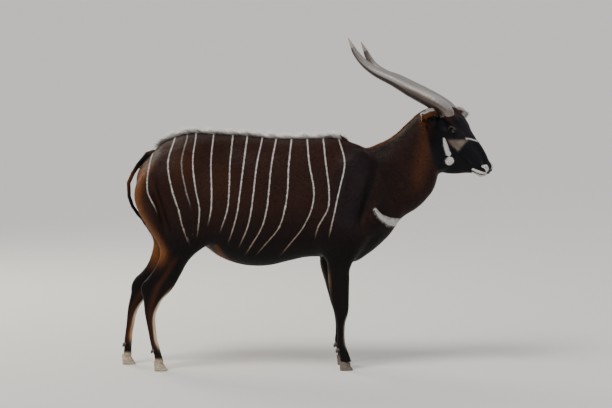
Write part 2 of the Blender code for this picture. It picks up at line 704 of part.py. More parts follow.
def keep_largest(thing):
    """Drop every closed surface of an object but the one with the most room in it."""
    bm = bmesh.new()
    bm.from_mesh(thing.data)
    bmesh.ops.triangulate(bm, faces=bm.faces)
    left = set(bm.verts)
    shells = []
    while left:
        shell = {left.pop()}
        edge = list(shell)
        while edge:
            near = {e.other_vert(v) for v in edge for e in v.link_edges} - shell
            shell |= near
            edge = list(near)
        left -= shell
        shells.append(shell)

    def room(shell):
        faces = {f for v in shell for f in v.link_faces}
        return sum(f.verts[0].co.dot(f.verts[1].co.cross(f.verts[2].co)) for f in faces)

    shells.sort(key=room)
    for shell in shells[:-1]:
        bmesh.ops.delete(bm, geom=list(shell), context="VERTS")
    bm.to_mesh(thing.data)
    bm.free()


def cell_object(planes, grow):
    """A convex cutter bounded by planes of (point, outward normal), each moved out by a distance."""
    bm = bmesh.new()
    bmesh.ops.create_cube(bm, size=6)
    for point, normal in planes:
        n = unit(normal)
        whole = bm.verts[:] + bm.edges[:] + bm.faces[:]
        bmesh.ops.bisect_plane(bm, geom=whole, plane_co=Vector(point) + n * grow, plane_no=n,
                               clear_outer=True)
        bmesh.ops.holes_fill(bm, edges=[e for e in bm.edges if e.is_boundary], sides=0)
    return from_bmesh("cell", bm)


def part_off(rest, name, planes):
    """Cut a piece off along a cell, leaving a clear gap, and return it."""
    inner = cell_object(planes, -GAP / 2)
    outer = cell_object(planes, GAP / 2)
    piece = copy_of(rest, name)
    combine(piece, inner, "INTERSECT")
    combine(rest, outer, "DIFFERENCE")
    remove(inner)
    remove(outer)
    keep_largest(piece)
    keep_largest(rest)
    return piece


def sweep(name, path, radii, sides, outline=None, grow=0.0):
    """A closed tube along a smooth path, with a radius at each point and an outline round it."""
    fine = 2                  # rings for each step of the path
    rows = [(i, *p, r) for i, (p, r) in enumerate(zip(path, radii))]
    curves = [smooth(rows, c) for c in (1, 2, 3, 4)]
    count = (len(path) - 1) * fine + 1
    at = np.linspace(0, len(path) - 1, count)
    points = [Vector([float(c(t)) for c in curves[:3]]) for t in at]
    radius = [max(float(curves[3](t)), 0.0015) for t in at]
    bm = bmesh.new()
    normal = Vector((0, 0, 1))
    rings = []
    for i, point in enumerate(points):
        before = points[max(i - 1, 0)]
        after = points[min(i + 1, count - 1)]
        ahead = (after - before).normalized()
        normal = (normal - ahead * normal.dot(ahead)).normalized()
        across = ahead.cross(normal)
        ring = []
        for k in range(sides):
            angle = 2 * math.pi * k / sides
            r = radius[i] * (outline(angle, i / (count - 1)) if outline else 1) + grow
            shift = ahead * (-grow if i == 0 else grow if i == count - 1 else 0)
            outward = normal * math.cos(angle) + across * math.sin(angle)
            ring.append(bm.verts.new(point + shift + outward * r))
        rings.append(ring)
    for a, b in zip(rings, rings[1:]):
        for k in range(sides):
            bm.faces.new((a[k], a[(k + 1) % sides], b[(k + 1) % sides], b[k]))
    bm.faces.new(rings[0][::-1])
    bm.faces.new(rings[-1])
    return from_bmesh(name, bm)


def horn(side, grow=0.0):
    frame = head_frame()
    table = HORN_RIGHT if side < 0 else HORN_LEFT
    path = [frame @ Vector((s, side * l, t)) for s, l, t, r in table]

    def outline(angle, along):
        keel = angle - side * (HORN_LEAN + HORN_TWIST * along)
        second = keel + math.pi * 0.95
        ridge = max(0.0, math.cos(keel)) ** 5 + 0.5 * max(0.0, math.cos(second)) ** 4
        return 0.96 + HORN_KEEL * ridge * (1 - along) ** 0.3

    name = "horn_right" if side < 0 else "horn_left"
    return sweep(name, path, [row[3] for row in table], HORN_SIDES, outline, grow)


def eye(side, grow=0.0):
    bm = bmesh.new()
    bmesh.ops.create_uvsphere(bm, u_segments=16, v_segments=10, radius=EYE_RADIUS + grow)
    frame = head_frame()
    turn = Matrix.Rotation(math.pi / 2, 4, "X")
    at = Matrix.Translation((EYE_AT[0], side * EYE_AT[1], EYE_AT[2]))
    bmesh.ops.transform(bm, matrix=frame @ at @ turn, verts=bm.verts)
    return from_bmesh("eye_right" if side < 0 else "eye_left", bm)


def seat(host, piece, grown):
    """Sink a piece into its host with a clear gap all round."""
    combine(host, grown, "DIFFERENCE")
    remove(grown)
    keep_largest(host)
    return piece


def claw(name, heel, side):
    """One claw of a hoof, flat underneath and on its inner side, pointed in front."""
    bm = bmesh.new()
    rings = []
    count = CLAW_SIDES
    for level in (0.0, 0.30, 0.68, 1.0):
        z = CLAW_HEIGHT * level
        front = CLAW_LENGTH - CLAW_TOE_SLOPE * z
        back = 0.006 - 0.10 * z * level
        width = CLAW_WIDTH * (1 - 0.10 * level)
        ring = []
        for k in range(count):
            angle = 2 * math.pi * k / count
            forward = (1 + math.cos(angle)) / 2
            x = back + (front - back) * forward
            taper = 1 - 0.62 * forward ** 3
            out = (0.5 + 0.5 * math.sin(angle) * (1.0 if math.sin(angle) > 0 else 0.9)) * width
            y = CLAW_CLEFT + (out - width / 2) * taper + width / 2 * (0.75 + 0.25 * taper)
            ring.append(bm.verts.new((heel[0] + x, heel[1] + side * y, z)))
        rings.append(ring)
    for a, b in zip(rings, rings[1:]):
        for k in range(count):
            bm.faces.new((a[k], a[(k + 1) % count], b[(k + 1) % count], b[k]))
    bm.faces.new(rings[0][::-1])
    bm.faces.new(rings[-1])
    return from_bmesh(name, bm)


def dewclaw(name, at, side, grow=0.0):
    """A short blunt cone behind the fetlock."""
    path = [(at[0] + x, at[1] + side * y, at[2] + z) for x, y, z in DEWCLAW_PATH]
    return sweep(name, path, DEWCLAW_RADII, 6, None, grow)


def lock(bm, root, lie, rise, length, width, thick, bend):
    """One flat tapered lock: it leaves the root between its lie and rise, and bends to its lie."""
    lie, rise = unit(lie), unit(rise)
    across = lie.cross(rise).normalized()
    rings = []
    at = Vector(root)
    for step, part in enumerate((0.0, 0.38, 0.72, 1.0)):
        turn = bend * (1 - part)
        ahead = (lie * math.cos(turn) + rise * math.sin(turn)).normalized()
        flat = across.cross(ahead).normalized()
        if step:
            at = at + ahead * length * (0.38, 0.34, 0.28)[step - 1]
        w = width * (0.80, 1.0, 0.66, 0.10)[step] / 2
        t = thick * (1.0, 0.9, 0.6, 0.25)[step] / 2
        rings.append([bm.verts.new(at + flat * a * w + across * b * t)
                      for a, b in ((1, 0), (0, 1), (-1, 0), (0, -1))])
    for a, b in zip(rings, rings[1:]):
        for k in range(4):
            bm.faces.new((a[k], a[(k + 1) % 4], b[(k + 1) % 4], b[k]))
    bm.faces.new(rings[0][::-1])
    bm.faces.new(rings[-1])


def crest_place(i):
    """Where lock i of the crest grows, how it lies and its size."""
    part = (i + 0.5) / CREST_LOCKS
    x = CREST_START + (CREST_END - CREST_START) * part + random.uniform(-0.004, 0.004)
    ends = min(1.0, 0.45 + 5.0 * part, 0.45 + 5.0 * (1 - part))
    y = random.uniform(-0.007, 0.007)
    z = float(smooth(TORSO, 1)(x)) - CREST_SUNK
    slope = (float(smooth(TORSO, 1)(x - 0.03)) - float(smooth(TORSO, 1)(x))) / 0.03
    lie = (-1, random.uniform(-0.12, 0.12), slope)
    length = CREST_LENGTH * ends * random.uniform(0.85, 1.15)
    return (x, y, z), lie, (0, random.uniform(-0.15, 0.15), 1), length, CREST_WIDTH, CREST_THICK, 0.95


def tuft_place(i):
    """Where lock i of the tail's tuft grows, how it lies and its size."""
    along = 2 * (i // TUFT_RING)
    at = Vector(TAIL[-4 + along][:3])
    ahead = (Vector(TAIL[min(-3 + along, -1)][:3]) - Vector(TAIL[-5 + along][:3])).normalized()
    side = Vector((0, 1, 0))
    normal = ahead.cross(side).normalized()
    angle = math.tau * (i % TUFT_RING) / TUFT_RING
    rise = normal * math.cos(angle) + side * math.sin(angle)
    length = TUFT_LENGTH * (1.0 - 0.10 * along) * random.uniform(0.85, 1.1)
    return at + rise * 0.003, ahead, rise, length, TUFT_WIDTH, TUFT_THICK, 0.42


def lock_objects(count, place):
    """Separate lock objects, ready to be fused to a body."""
    things = []
    for i in range(count):
        bm = bmesh.new()
        lock(bm, *place(i))
        things.append(from_bmesh("lock", bm))
    return things


def paint(thing, name, colour, roughness, smooth_shading=True):
    material = bpy.data.materials.get(name)
    if material is None:
        material = bpy.data.materials.new(name)
        material.use_nodes = True
        shader = material.node_tree.nodes["Principled BSDF"]
        shader.inputs["Base Color"].default_value = (*colour, 1)
        shader.inputs["Roughness"].default_value = roughness
        shader.inputs["Metallic"].default_value = 0
    thing.data.materials.clear()
    thing.data.materials.append(material)
    for polygon in thing.data.polygons:
        polygon.use_smooth = smooth_shading


def flesh_object():
    xs = steps((-1.04, 0.55, COARSE), (0.55, 1.05, FINE))
    ys = steps((-0.36, 0.30, FINE))
    zs = steps((0.0, 1.02, COARSE), (1.02, 1.54, FINE))
    flesh = Flesh(xs, ys, zs)
    add_body(flesh)
    add_head(flesh)
    points, faces = surface_net(flesh)
    thing = mesh_object("flesh", points, faces)
    keep_largest(thing)
    fewer = thing.modifiers.new("Fewer", "DECIMATE")
    fewer.ratio = min(1.0, FLESH_TRIANGLES / len(thing.data.polygons))
    settle(thing)
    return thing


def build():
    random.seed(SEED)
    for thing in list(bpy.data.objects):
        bpy.data.objects.remove(thing, do_unlink=True)
    flesh = flesh_object()
    pieces = {}
    head = head_frame()

    # seats for the eyes, horns and tail
    for side, hand in ((-1, "right"), (1, "left")):
        pieces["eye_" + hand] = seat(flesh, eye(side), eye(side, GAP))
        pieces["horn_" + hand] = seat(flesh, horn(side), horn(side, GAP))
    tail_path = [row[:3] for row in TAIL]
    tail_radii = [row[3] for row in TAIL]
    upper = tail_path[:TAIL_DIVIDE + 1]
    seat(flesh, None, sweep("seat", upper, tail_radii[:TAIL_DIVIDE + 1], TAIL_SIDES, None, GAP))
    tail = sweep("tail_upper", tail_path, tail_radii, TAIL_SIDES)
    at = Vector(tail_path[TAIL_DIVIDE])
    ahead = (Vector(tail_path[TAIL_DIVIDE + 1]) - Vector(tail_path[TAIL_DIVIDE - 1])).normalized()
    pieces["tail_lower"] = part_off(tail, "tail_lower", ((at, -ahead),))
    pieces["tail_upper"] = tail

    # dewclaws behind each fetlock, and claws under each leg
    for place, stations, back in (("hind", HIND_LEG, HIND_LEG_BACK), ("front", FORELEG, FORELEG_BACK)):
        rear = smooth(stations, 2)
        out = smooth(stations, 4)
        stride = smooth(back, 1)
        for side, hand in ((-1, "right"), (1, "left")):
            high = float(stride(DEWCLAW_Z)) if side > 0 else 0.0
            shift = float(stride(CORONET_Z)) if side > 0 else 0.0
            middle = side * float(out(CORONET_Z))
            for turn, which in ((-1, "inner"), (1, "outer")):
                outward = side * turn
                at = (float(rear(DEWCLAW_Z)) + 0.004 + high, middle + outward * DEWCLAW_OUT, DEWCLAW_Z)
                name = "dewclaw_%s_%s_%s" % (place, hand, which)
                pieces[name] = seat(flesh, dewclaw(name, at, outward), dewclaw(name, at, outward, GAP))
                heel = (float(rear(CORONET_Z)) + shift - 0.006, middle)
                name = "claw_%s_%s_%s" % (place, hand, which)
                pieces[name] = claw(name, heel, outward)

    # the flesh's own parts
    floor_cell = (((0, 0, CORONET_Z), (0, 0, 1)),)
    feet = cell_object(floor_cell, GAP)
    combine(flesh, feet, "DIFFERENCE")
    remove(feet)
    keep_largest(flesh)
    for side, hand in ((-1, "right"), (1, "left")):
        place = ear_frame(side)
        turn = place.to_3x3()
        planes = [(place @ Vector((EAR_PARTING, 0, 0)), turn @ Vector((-1, 0, 0)))]
        for axis, room in ((1, EAR_ROOM_ACROSS), (2, EAR_ROOM_OPEN)):
            for way in (-1, 1):
                out = Vector((0, 0, 0))
                out[axis] = way
                planes.append((place @ (out * room), turn @ out))
        pieces["ear_" + hand] = part_off(flesh, "ear_" + hand, planes)
    pieces["head"] = part_off(flesh, "head", HEAD_CUT)
    pieces["neck"] = part_off(flesh, "neck", NECK_CUT)
    for side, hand in ((-1, "right"), (1, "left")):
        for place, planes, apart in (("hind", HIND_CUT, 0.0), ("front", FRONT_CUT, FRONT_APART)):
            inner = ((0, side * apart, 0), (0, -side, 0))
            name = "leg_%s_%s" % (place, hand)
            pieces[name] = part_off(flesh, name, planes + (inner,))
    flesh.name = "torso"
    pieces["torso"] = flesh
    combine_all(flesh, lock_objects(CREST_LOCKS, crest_place))
    combine_all(pieces["tail_lower"], lock_objects(TUFT_LOCKS, tuft_place))
    keep_largest(flesh)
    keep_largest(pieces["tail_lower"])
    return pieces


def colour_all(pieces):
    for name, thing in pieces.items():
        thing.name = name
        thing.data.name = name
        if name.startswith("eye"):
            paint(thing, "eye", (0.012, 0.008, 0.006), 0.08)
        elif name.startswith("horn"):
            paint(thing, "horn", (0.16, 0.12, 0.09), 0.45)
        elif name.startswith("claw") or name.startswith("dewclaw"):
            paint(thing, "claw", (0.20, 0.15, 0.10), 0.5, False)
        elif name.startswith("ear"):
            paint(thing, "ear", (0.22, 0.10, 0.045), 0.8)
        elif name == "head":
            paint(thing, "head", (0.020, 0.018, 0.022), 0.6)
        elif name == "neck":
            paint(thing, "neck", (0.085, 0.030, 0.014), 0.65)
        elif name.startswith("leg") or name.startswith("tail"):
            paint(thing, "limb", (0.030, 0.016, 0.012), 0.65)
        else:
            paint(thing, "coat", (0.065, 0.024, 0.014), 0.6)
        thing.data.transform(Matrix.Translation(SHIFT))


colour_all(build())
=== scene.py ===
# The looks of a life-size bull bongo: one skin under a short coat, with eyes, horns and hooves.
# Metres, +Z up, +X towards the head, -Y the animal's right side, which the camera sees.
import math

import bmesh
import bpy
import numpy as np
from mathutils import Matrix, Vector


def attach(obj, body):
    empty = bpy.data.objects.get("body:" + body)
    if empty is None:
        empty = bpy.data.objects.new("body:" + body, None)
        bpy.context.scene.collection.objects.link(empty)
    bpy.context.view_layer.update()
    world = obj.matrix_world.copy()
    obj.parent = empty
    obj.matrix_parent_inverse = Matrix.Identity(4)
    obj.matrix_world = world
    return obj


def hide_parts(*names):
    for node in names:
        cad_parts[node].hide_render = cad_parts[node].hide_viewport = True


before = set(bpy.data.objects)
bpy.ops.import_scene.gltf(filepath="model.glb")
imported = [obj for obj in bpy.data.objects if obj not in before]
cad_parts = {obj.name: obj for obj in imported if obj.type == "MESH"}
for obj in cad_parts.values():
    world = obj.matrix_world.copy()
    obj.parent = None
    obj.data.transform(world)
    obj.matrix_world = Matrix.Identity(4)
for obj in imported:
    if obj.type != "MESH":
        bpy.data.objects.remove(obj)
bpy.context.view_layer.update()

SHIFT = (0.0139, 0.0124, 0.0)   # the animal's own frame in the part's
SEED = 7

# Torso, in upright sections from the rump to the chest:
# station x, top z, bottom z, half width, height of the widest point
TORSO = (
    (-0.940, 1.070, 0.960, 0.060, 1.020),
    (-0.905, 1.130, 0.880, 0.105, 1.010),
    (-0.850, 1.190, 0.810, 0.140, 1.000),
    (-0.800, 1.240, 0.770, 0.165, 0.995),
    (-0.740, 1.272, 0.745, 0.185, 0.990),
    (-0.680, 1.291, 0.725, 0.196, 0.980),
    (-0.620, 1.299, 0.700, 0.200, 0.970),
    (-0.560, 1.295, 0.668, 0.200, 0.955),
    (-0.500, 1.292, 0.624, 0.206, 0.940),
    (-0.440, 1.290, 0.594, 0.216, 0.925),
    (-0.360, 1.286, 0.570, 0.230, 0.910),
    (-0.280, 1.279, 0.562, 0.240, 0.905),
    (-0.200, 1.270, 0.568, 0.243, 0.905),
    (-0.100, 1.268, 0.592, 0.238, 0.910),
    (0.000, 1.269, 0.612, 0.226, 0.920),
    (0.080, 1.270, 0.612, 0.210, 0.925),
    (0.150, 1.268, 0.596, 0.196, 0.925),
    (0.210, 1.246, 0.580, 0.184, 0.915),
    (0.270, 1.205, 0.590, 0.172, 0.905),
    (0.330, 1.150, 0.628, 0.158, 0.900),
    (0.390, 1.080, 0.676, 0.138, 0.895),
    (0.440, 1.000, 0.726, 0.105, 0.885),
    (0.475, 0.930, 0.770, 0.070, 0.865),
)

# Neck, in upright sections: station x, top z, bottom z, half width, height of the widest point, y
NECK = (
    (0.120, 1.225, 0.760, 0.120, 0.990, 0.000),
    (0.200, 1.236, 0.720, 0.140, 0.985, 0.000),
    (0.265, 1.226, 0.720, 0.148, 0.980, 0.000),
    (0.330, 1.217, 0.730, 0.148, 0.980, 0.000),
    (0.385, 1.237, 0.750, 0.143, 0.990, -0.002),
    (0.440, 1.263, 0.778, 0.137, 1.010, -0.006),
    (0.495, 1.302, 0.816, 0.130, 1.040, -0.012),
    (0.545, 1.350, 0.850, 0.123, 1.080, -0.019),
    (0.600, 1.397, 0.886, 0.116, 1.120, -0.027),
    (0.650, 1.420, 0.936, 0.108, 1.160, -0.035),
    (0.690, 1.425, 0.995, 0.098, 1.200, -0.042),
    (0.715, 1.420, 1.060, 0.085, 1.240, -0.047),
)

# Hind leg, in level sections: station z, front x, rear x, half width, distance from the midline
HIND_LEG = (
    (1.200, -0.600, -0.800, 0.060, 0.080),
    (1.130, -0.540, -0.865, 0.085, 0.095),
    (1.045, -0.500, -0.930, 0.100, 0.108),
    (0.960, -0.482, -0.948, 0.104, 0.118),
    (0.880, -0.482, -0.926, 0.100, 0.124),
    (0.820, -0.495, -0.892, 0.093, 0.127),
    (0.766, -0.515, -0.859, 0.085, 0.127),
    (0.722, -0.540, -0.832, 0.078, 0.126),
    (0.678, -0.575, -0.812, 0.070, 0.124),
    (0.634, -0.624, -0.811, 0.063, 0.122),
    (0.590, -0.659, -0.826, 0.056, 0.121),
    (0.552, -0.679, -0.848, 0.050, 0.120),
    (0.513, -0.700, -0.877, 0.045, 0.120),
    (0.486, -0.715, -0.902, 0.042, 0.120),
    (0.460, -0.731, -0.914, 0.041, 0.120),
    (0.432, -0.754, -0.913, 0.040, 0.120),
    (0.400, -0.785, -0.903, 0.037, 0.120),
    (0.360, -0.810, -0.898, 0.033, 0.120),
    (0.320, -0.826, -0.894, 0.028, 0.120),
    (0.278, -0.831, -0.887, 0.025, 0.120),
    (0.223, -0.827, -0.876, 0.023, 0.120),
    (0.168, -0.820, -0.866, 0.024, 0.120),
    (0.132, -0.810, -0.858, 0.030, 0.120),
    (0.105, -0.803, -0.849, 0.031, 0.120),
    (0.078, -0.795, -0.842, 0.030, 0.120),
    (0.030, -0.780, -0.838, 0.033, 0.120),
)
# The left hind leg stands further back: height, shift along X
HIND_LEG_BACK = (
    (1.200, 0.000), (0.850, 0.000), (0.750, -0.028), (0.630, -0.050), (0.530, -0.044),
    (0.457, -0.056), (0.430, -0.066), (0.374, -0.085), (0.300, -0.108), (0.220, -0.131),
    (0.140, -0.157), (0.080, -0.178), (0.030, -0.192),
)

# Foreleg, in level sections, as the hind leg
FORELEG = (
    (0.900, 0.330, 0.120, 0.066, 0.108),
    (0.830, 0.360, 0.085, 0.078, 0.112),
    (0.760, 0.345, 0.062, 0.078, 0.114),
    (0.700, 0.310, 0.062, 0.073, 0.114),
    (0.650, 0.280, 0.074, 0.065, 0.113),
    (0.600, 0.250, 0.100, 0.057, 0.111),
    (0.560, 0.234, 0.105, 0.050, 0.109),
    (0.500, 0.231, 0.109, 0.044, 0.106),
    (0.440, 0.229, 0.115, 0.040, 0.104),
    (0.388, 0.228, 0.125, 0.038, 0.103),
    (0.345, 0.227, 0.134, 0.038, 0.102),
    (0.310, 0.222, 0.145, 0.035, 0.102),
    (0.270, 0.210, 0.153, 0.028, 0.102),
    (0.215, 0.205, 0.159, 0.024, 0.102),
    (0.170, 0.206, 0.159, 0.024, 0.102),
    (0.140, 0.210, 0.157, 0.029, 0.102),
    (0.115, 0.218, 0.160, 0.031, 0.102),
    (0.090, 0.227, 0.168, 0.030, 0.102),
    (0.030, 0.248, 0.180, 0.033, 0.102),
)
FORELEG_BACK = (
    (0.900, 0.000), (0.700, -0.018), (0.570, -0.040), (0.440, -0.017), (0.360, -0.010), (0.030, -0.012),
)

# Head frame: from the poll, turned towards the animal's right and pitched down
HEAD_AT = (0.703, -0.045, 1.387)
HEAD_YAW = math.radians(27)
HEAD_PITCH = math.radians(40)

# Head, in sections square to the face's axis: station, top, bottom, half width, height of the widest
HEAD = (
    (-0.060, 0.060, -0.060, 0.048, 0.000),
    (-0.020, 0.078, -0.120, 0.068, 0.000),
    (0.030, 0.088, -0.165, 0.077, 0.005),
    (0.080, 0.094, -0.198, 0.080, 0.010),
    (0.120, 0.096, -0.214, 0.080, 0.010),
    (0.160, 0.088, -0.219, 0.077, 0.006),
    (0.205, 0.076, -0.214, 0.071, -0.004),
    (0.245, 0.067, -0.195, 0.064, -0.012),
    (0.290, 0.060, -0.155, 0.055, -0.015),
    (0.325, 0.051, -0.117, 0.049, -0.020),
    (0.352, 0.041, -0.093, 0.046, -0.022),
    (0.376, 0.029, -0.077, 0.044, -0.024),
    (0.398, 0.016, -0.065, 0.043, -0.025),
    (0.416, 0.003, -0.052, 0.038, -0.025),
    (0.429, -0.009, -0.040, 0.026, -0.025),
)

# Ears: where each leaves the head, in its frame; which way it points and opens, in the animal's
EAR_BASE = (0.028, 0.068, -0.015)
EAR_LENGTH = 0.195
EAR_HALF_WIDTH = 0.062
EAR_CUP = 0.052
EAR_THICK = 0.014
EAR_ROOM_ACROSS = 0.075       # where to look for the ear's skin: across it, the way it opens, and off it
EAR_ROOM_OPEN = 0.080
EAR_NEAR = 0.012
EAR_RIGHT = ((-0.37, -0.82, 0.36), (0.72, -0.53, -0.45))
EAR_LEFT = ((0.70, 0.71, 0.18), (0.75, -0.60, -0.20))

# Eyes: centre in the head frame, ball radius, opening between the lids
EYE_AT = (0.142, 0.058, 0.036)
EYE_RADIUS = 0.0205
LID_THICK = 0.004
LID_HALF_LENGTH = 0.020
LID_HALF_HEIGHT = 0.0115

# Horn centre lines in the head frame: along the face, out from the middle, up; then the radius
HORN_RIGHT = (
    (0.080, 0.040, 0.040, 0.022), (0.060, 0.052, 0.068, 0.036), (0.024, 0.056, 0.082, 0.040),
    (-0.040, 0.060, 0.075, 0.041), (-0.125, 0.063, 0.050, 0.039), (-0.195, 0.069, 0.031, 0.037),
    (-0.295, 0.075, 0.008, 0.033), (-0.405, 0.082, -0.025, 0.028), (-0.485, 0.087, -0.035, 0.023),
    (-0.555, 0.087, -0.029, 0.018), (-0.600, 0.084, -0.017, 0.012), (-0.655, 0.078, 0.002, 0.002),
)
HORN_LEFT = (
    (0.078, 0.040, 0.034, 0.022), (0.058, 0.052, 0.050, 0.035), (0.018, 0.056, 0.060, 0.038),
    (-0.046, 0.060, 0.052, 0.040), (-0.150, 0.063, 0.026, 0.039), (-0.220, 0.069, 0.004, 0.037),
    (-0.330, 0.075, -0.030, 0.033), (-0.405, 0.082, -0.060, 0.028), (-0.485, 0.087, -0.073, 0.023),
    (-0.545, 0.087, -0.060, 0.018), (-0.587, 0.084, -0.042, 0.012), (-0.635, 0.078, -0.020, 0.002),
)
HORN_KEEL = 0.10                # how far the keel stands out, over the radius
HORN_TWIST = math.radians(200)
HORN_LEAN = 0.9                 # where the keel starts, round the horn
HORN_SIDES = 56
HORN_STEPS = 16                 # rings for each row of the table

# Tail centre line: x, y, z, radius
TAIL = (
    (-0.840, 0.000, 1.188, 0.020), (-0.876, 0.000, 1.178, 0.018), (-0.925, 0.000, 1.124, 0.015),
    (-0.957, 0.000, 1.075, 0.0135), (-0.981, 0.000, 1.022, 0.0130), (-0.979, 0.000, 0.948, 0.0125),
    (-0.962, 0.000, 0.896, 0.0120), (-0.932, 0.002, 0.850, 0.0115), (-0.893, 0.004, 0.809, 0.0115),
    (-0.862, 0.006, 0.770, 0.0115), (-0.832, 0.008, 0.725, 0.010), (-0.815, 0.008, 0.690, 0.006),
)

FOOT_Z = 0.044                # the skin's lower edge, over the hooves' rims

# How square the sections are, 2 being an ellipse, and how far the ends of a form are rounded
BODY_FULLNESS = 2.25
LIMB_FULLNESS = 2.2
END_ROUNDING = 0.03
HEAD_ROUNDING = 0.035

# Nostril: a bent channel in the head frame, with its radius at each point
NOSTRIL = ((0.421, 0.021, -0.013), (0.403, 0.034, 0.005), (0.389, 0.037, -0.003))
NOSTRIL_RADII = (0.0062, 0.0050, 0.0026)

# Mouth: where the lips meet at the front, how the line runs back, and where it ends
MOUTH_FRONT = (0.429, -0.035)
MOUTH_SLOPE = 0.46
MOUTH_CORNER = 0.343
MOUTH_HALF_HEIGHT = 0.0020
MOUTH_DEPTH = 0.012

# The plane across the throat where the face's colours begin
THROAT_AT = (0.687, -0.040, 1.235)
THROAT_WAY = (0.945, -0.245, 0.218)


def head_frame():
    """The matrix from the head's own axes (along the face, left, up) to the animal's frame."""
    forward = Vector((math.cos(HEAD_YAW) * math.cos(HEAD_PITCH),
                      -math.sin(HEAD_YAW) * math.cos(HEAD_PITCH),
                      -math.sin(HEAD_PITCH)))
    left = Vector((math.sin(HEAD_YAW), math.cos(HEAD_YAW), 0))
    up = forward.cross(left)
    turn = Matrix((forward, left, up)).transposed().to_4x4()
    return Matrix.Translation(HEAD_AT) @ turn


def smooth(stations, column):
    """A smooth curve through one column of a station table, as a function of the first column."""
    table = sorted((row[0], row[column]) for row in stations)
    at = np.array([row[0] for row in table])
    value = np.array([row[1] for row in table])
    slope = np.gradient(value, at)

    def curve(s):
        s = np.clip(s, at[0], at[-1])
        i = np.clip(np.searchsorted(at, s, side="right") - 1, 0, len(at) - 2)
        width = at[i + 1] - at[i]
        t = (s - at[i]) / width
        t2 = t * t
        t3 = t2 * t
        return ((2 * t3 - 3 * t2 + 1) * value[i] + (t3 - 2 * t2 + t) * width * slope[i]
                + (3 * t2 - 2 * t3) * value[i + 1] + (t3 - t2) * width * slope[i + 1])

    return curve


def blend_in(a, b, k):
    """The union of two fields, rounded over a distance k where they meet."""
    h = np.maximum(k - np.abs(a - b), 0) / k
    return np.minimum(a, b) - h * h * k * 0.25


def carve_out(a, b, k):
    """Field a with field b taken away, rounded over a distance k."""
    return -blend_in(-a, b, k)


def section(high, wide, top, bottom, half, fullness):
    """About how far a point lies outside a rounded section, measured from its widest height."""
    reach = np.where(high > 0, top, bottom)
    u = np.abs(high) / reach + 1e-6
    v = np.abs(wide) / half + 1e-6
    rho = (u ** fullness + v ** fullness) ** (1 / fullness)
    steep = rho ** (1 - fullness)
    return (rho - 1) / np.hypot(u ** (fullness - 1) * steep / reach, v ** (fullness - 1) * steep / half)


def ball(x, y, z, centre, radii, turn=None):
    """About how far a point lies outside an ellipsoid, turned by a matrix if one is given."""
    px, py, pz = x - centre[0], y - centre[1], z - centre[2]
    if turn is not None:
        m = np.array(turn.to_3x3())
        px, py, pz = (m[0, i] * px + m[1, i] * py + m[2, i] * pz for i in range(3))
    rx, ry, rz = radii
    k0 = np.sqrt((px / rx) ** 2 + (py / ry) ** 2 + (pz / rz) ** 2) + 1e-6
    k1 = np.sqrt((px / rx ** 2) ** 2 + (py / ry ** 2) ** 2 + (pz / rz ** 2) ** 2) + 1e-6
    return k0 * (k0 - 1) / k1


def rod(x, y, z, a, b, ra, rb):
    """How far a point lies outside a rod from a to b with a radius at each end."""
    a, b = np.array(a), np.array(b)
    d = b - a
    px, py, pz = x - a[0], y - a[1], z - a[2]
    t = np.clip((px * d[0] + py * d[1] + pz * d[2]) / (d @ d), 0, 1)
    return np.sqrt((px - t * d[0]) ** 2 + (py - t * d[1]) ** 2 + (pz - t * d[2]) ** 2) - (ra + (rb - ra) * t)


class Flesh:
    """A field on a grid, below zero inside the flesh."""

    FAR = 0.5
    MARGIN = 0.09

    def __init__(self, xs, ys, zs):
        self.axes = (xs, ys, zs)
        self.field = np.full((len(xs), len(ys), len(zs)), self.FAR, np.float32)

    def window(self, low, high):
        cut = []
        for axis, lo, hi in zip(self.axes, low, high):
            first = np.searchsorted(axis, lo - self.MARGIN)
            last = np.searchsorted(axis, hi + self.MARGIN)
            cut.append(slice(first, max(last, first)))
        cut = tuple(cut)
        x = self.axes[0][cut[0]][:, None, None]
        y = self.axes[1][cut[1]][None, :, None]
        z = self.axes[2][cut[2]][None, None, :]
        return cut, x, y, z

    def grid(self):
        xs, ys, zs = self.axes
        return xs[:, None, None], ys[None, :, None], zs[None, None, :]

    def add(self, low, high, shape, k):
        cut, x, y, z = self.window(low, high)
        if self.field[cut].size:
            self.field[cut] = blend_in(self.field[cut], shape(x, y, z), k)

    def carve(self, low, high, shape, k):
        cut, x, y, z = self.window(low, high)
        if self.field[cut].size:
            self.field[cut] = carve_out(self.field[cut], shape(x, y, z), k)


def trunk_shape(stations, fullness):
    """A form through upright sections: the torso or the neck."""
    top, bottom, half, wide_z = (smooth(stations, c) for c in (1, 2, 3, 4))
    offset = smooth(stations, 5) if len(stations[0]) > 5 else (lambda s: 0 * s)
    first, last = stations[0][0], stations[-1][0]

    def shape(x, y, z):
        z0 = wide_z(x)
        d = section(z - z0, y - offset(x), top(x) - z0, z0 - bottom(x), half(x), fullness)
        ends = np.maximum(first - x, x - last)
        return -blend_in(-d, -ends, END_ROUNDING)

    return shape


def leg_shape(stations, back, side, fullness):
    """A leg through level sections, shifted along X by height if its stride is given."""
    front, rear, half, out = (smooth(stations, c) for c in (1, 2, 3, 4))
    shift = smooth(back, 1) if back else (lambda s: 0 * s)
    top = stations[0][0]

    def shape(x, y, z):
        x_front = front(z) + shift(z)
        x_rear = rear(z) + shift(z)
        middle = (x_front + x_rear) / 2
        reach = (x_front - x_rear) / 2
        d = section(x - middle, y - side * out(z), reach, reach, half(z), fullness)
        return np.maximum(-blend_in(-d, -(z - top), END_ROUNDING), FOOT_Z - z)

    return shape


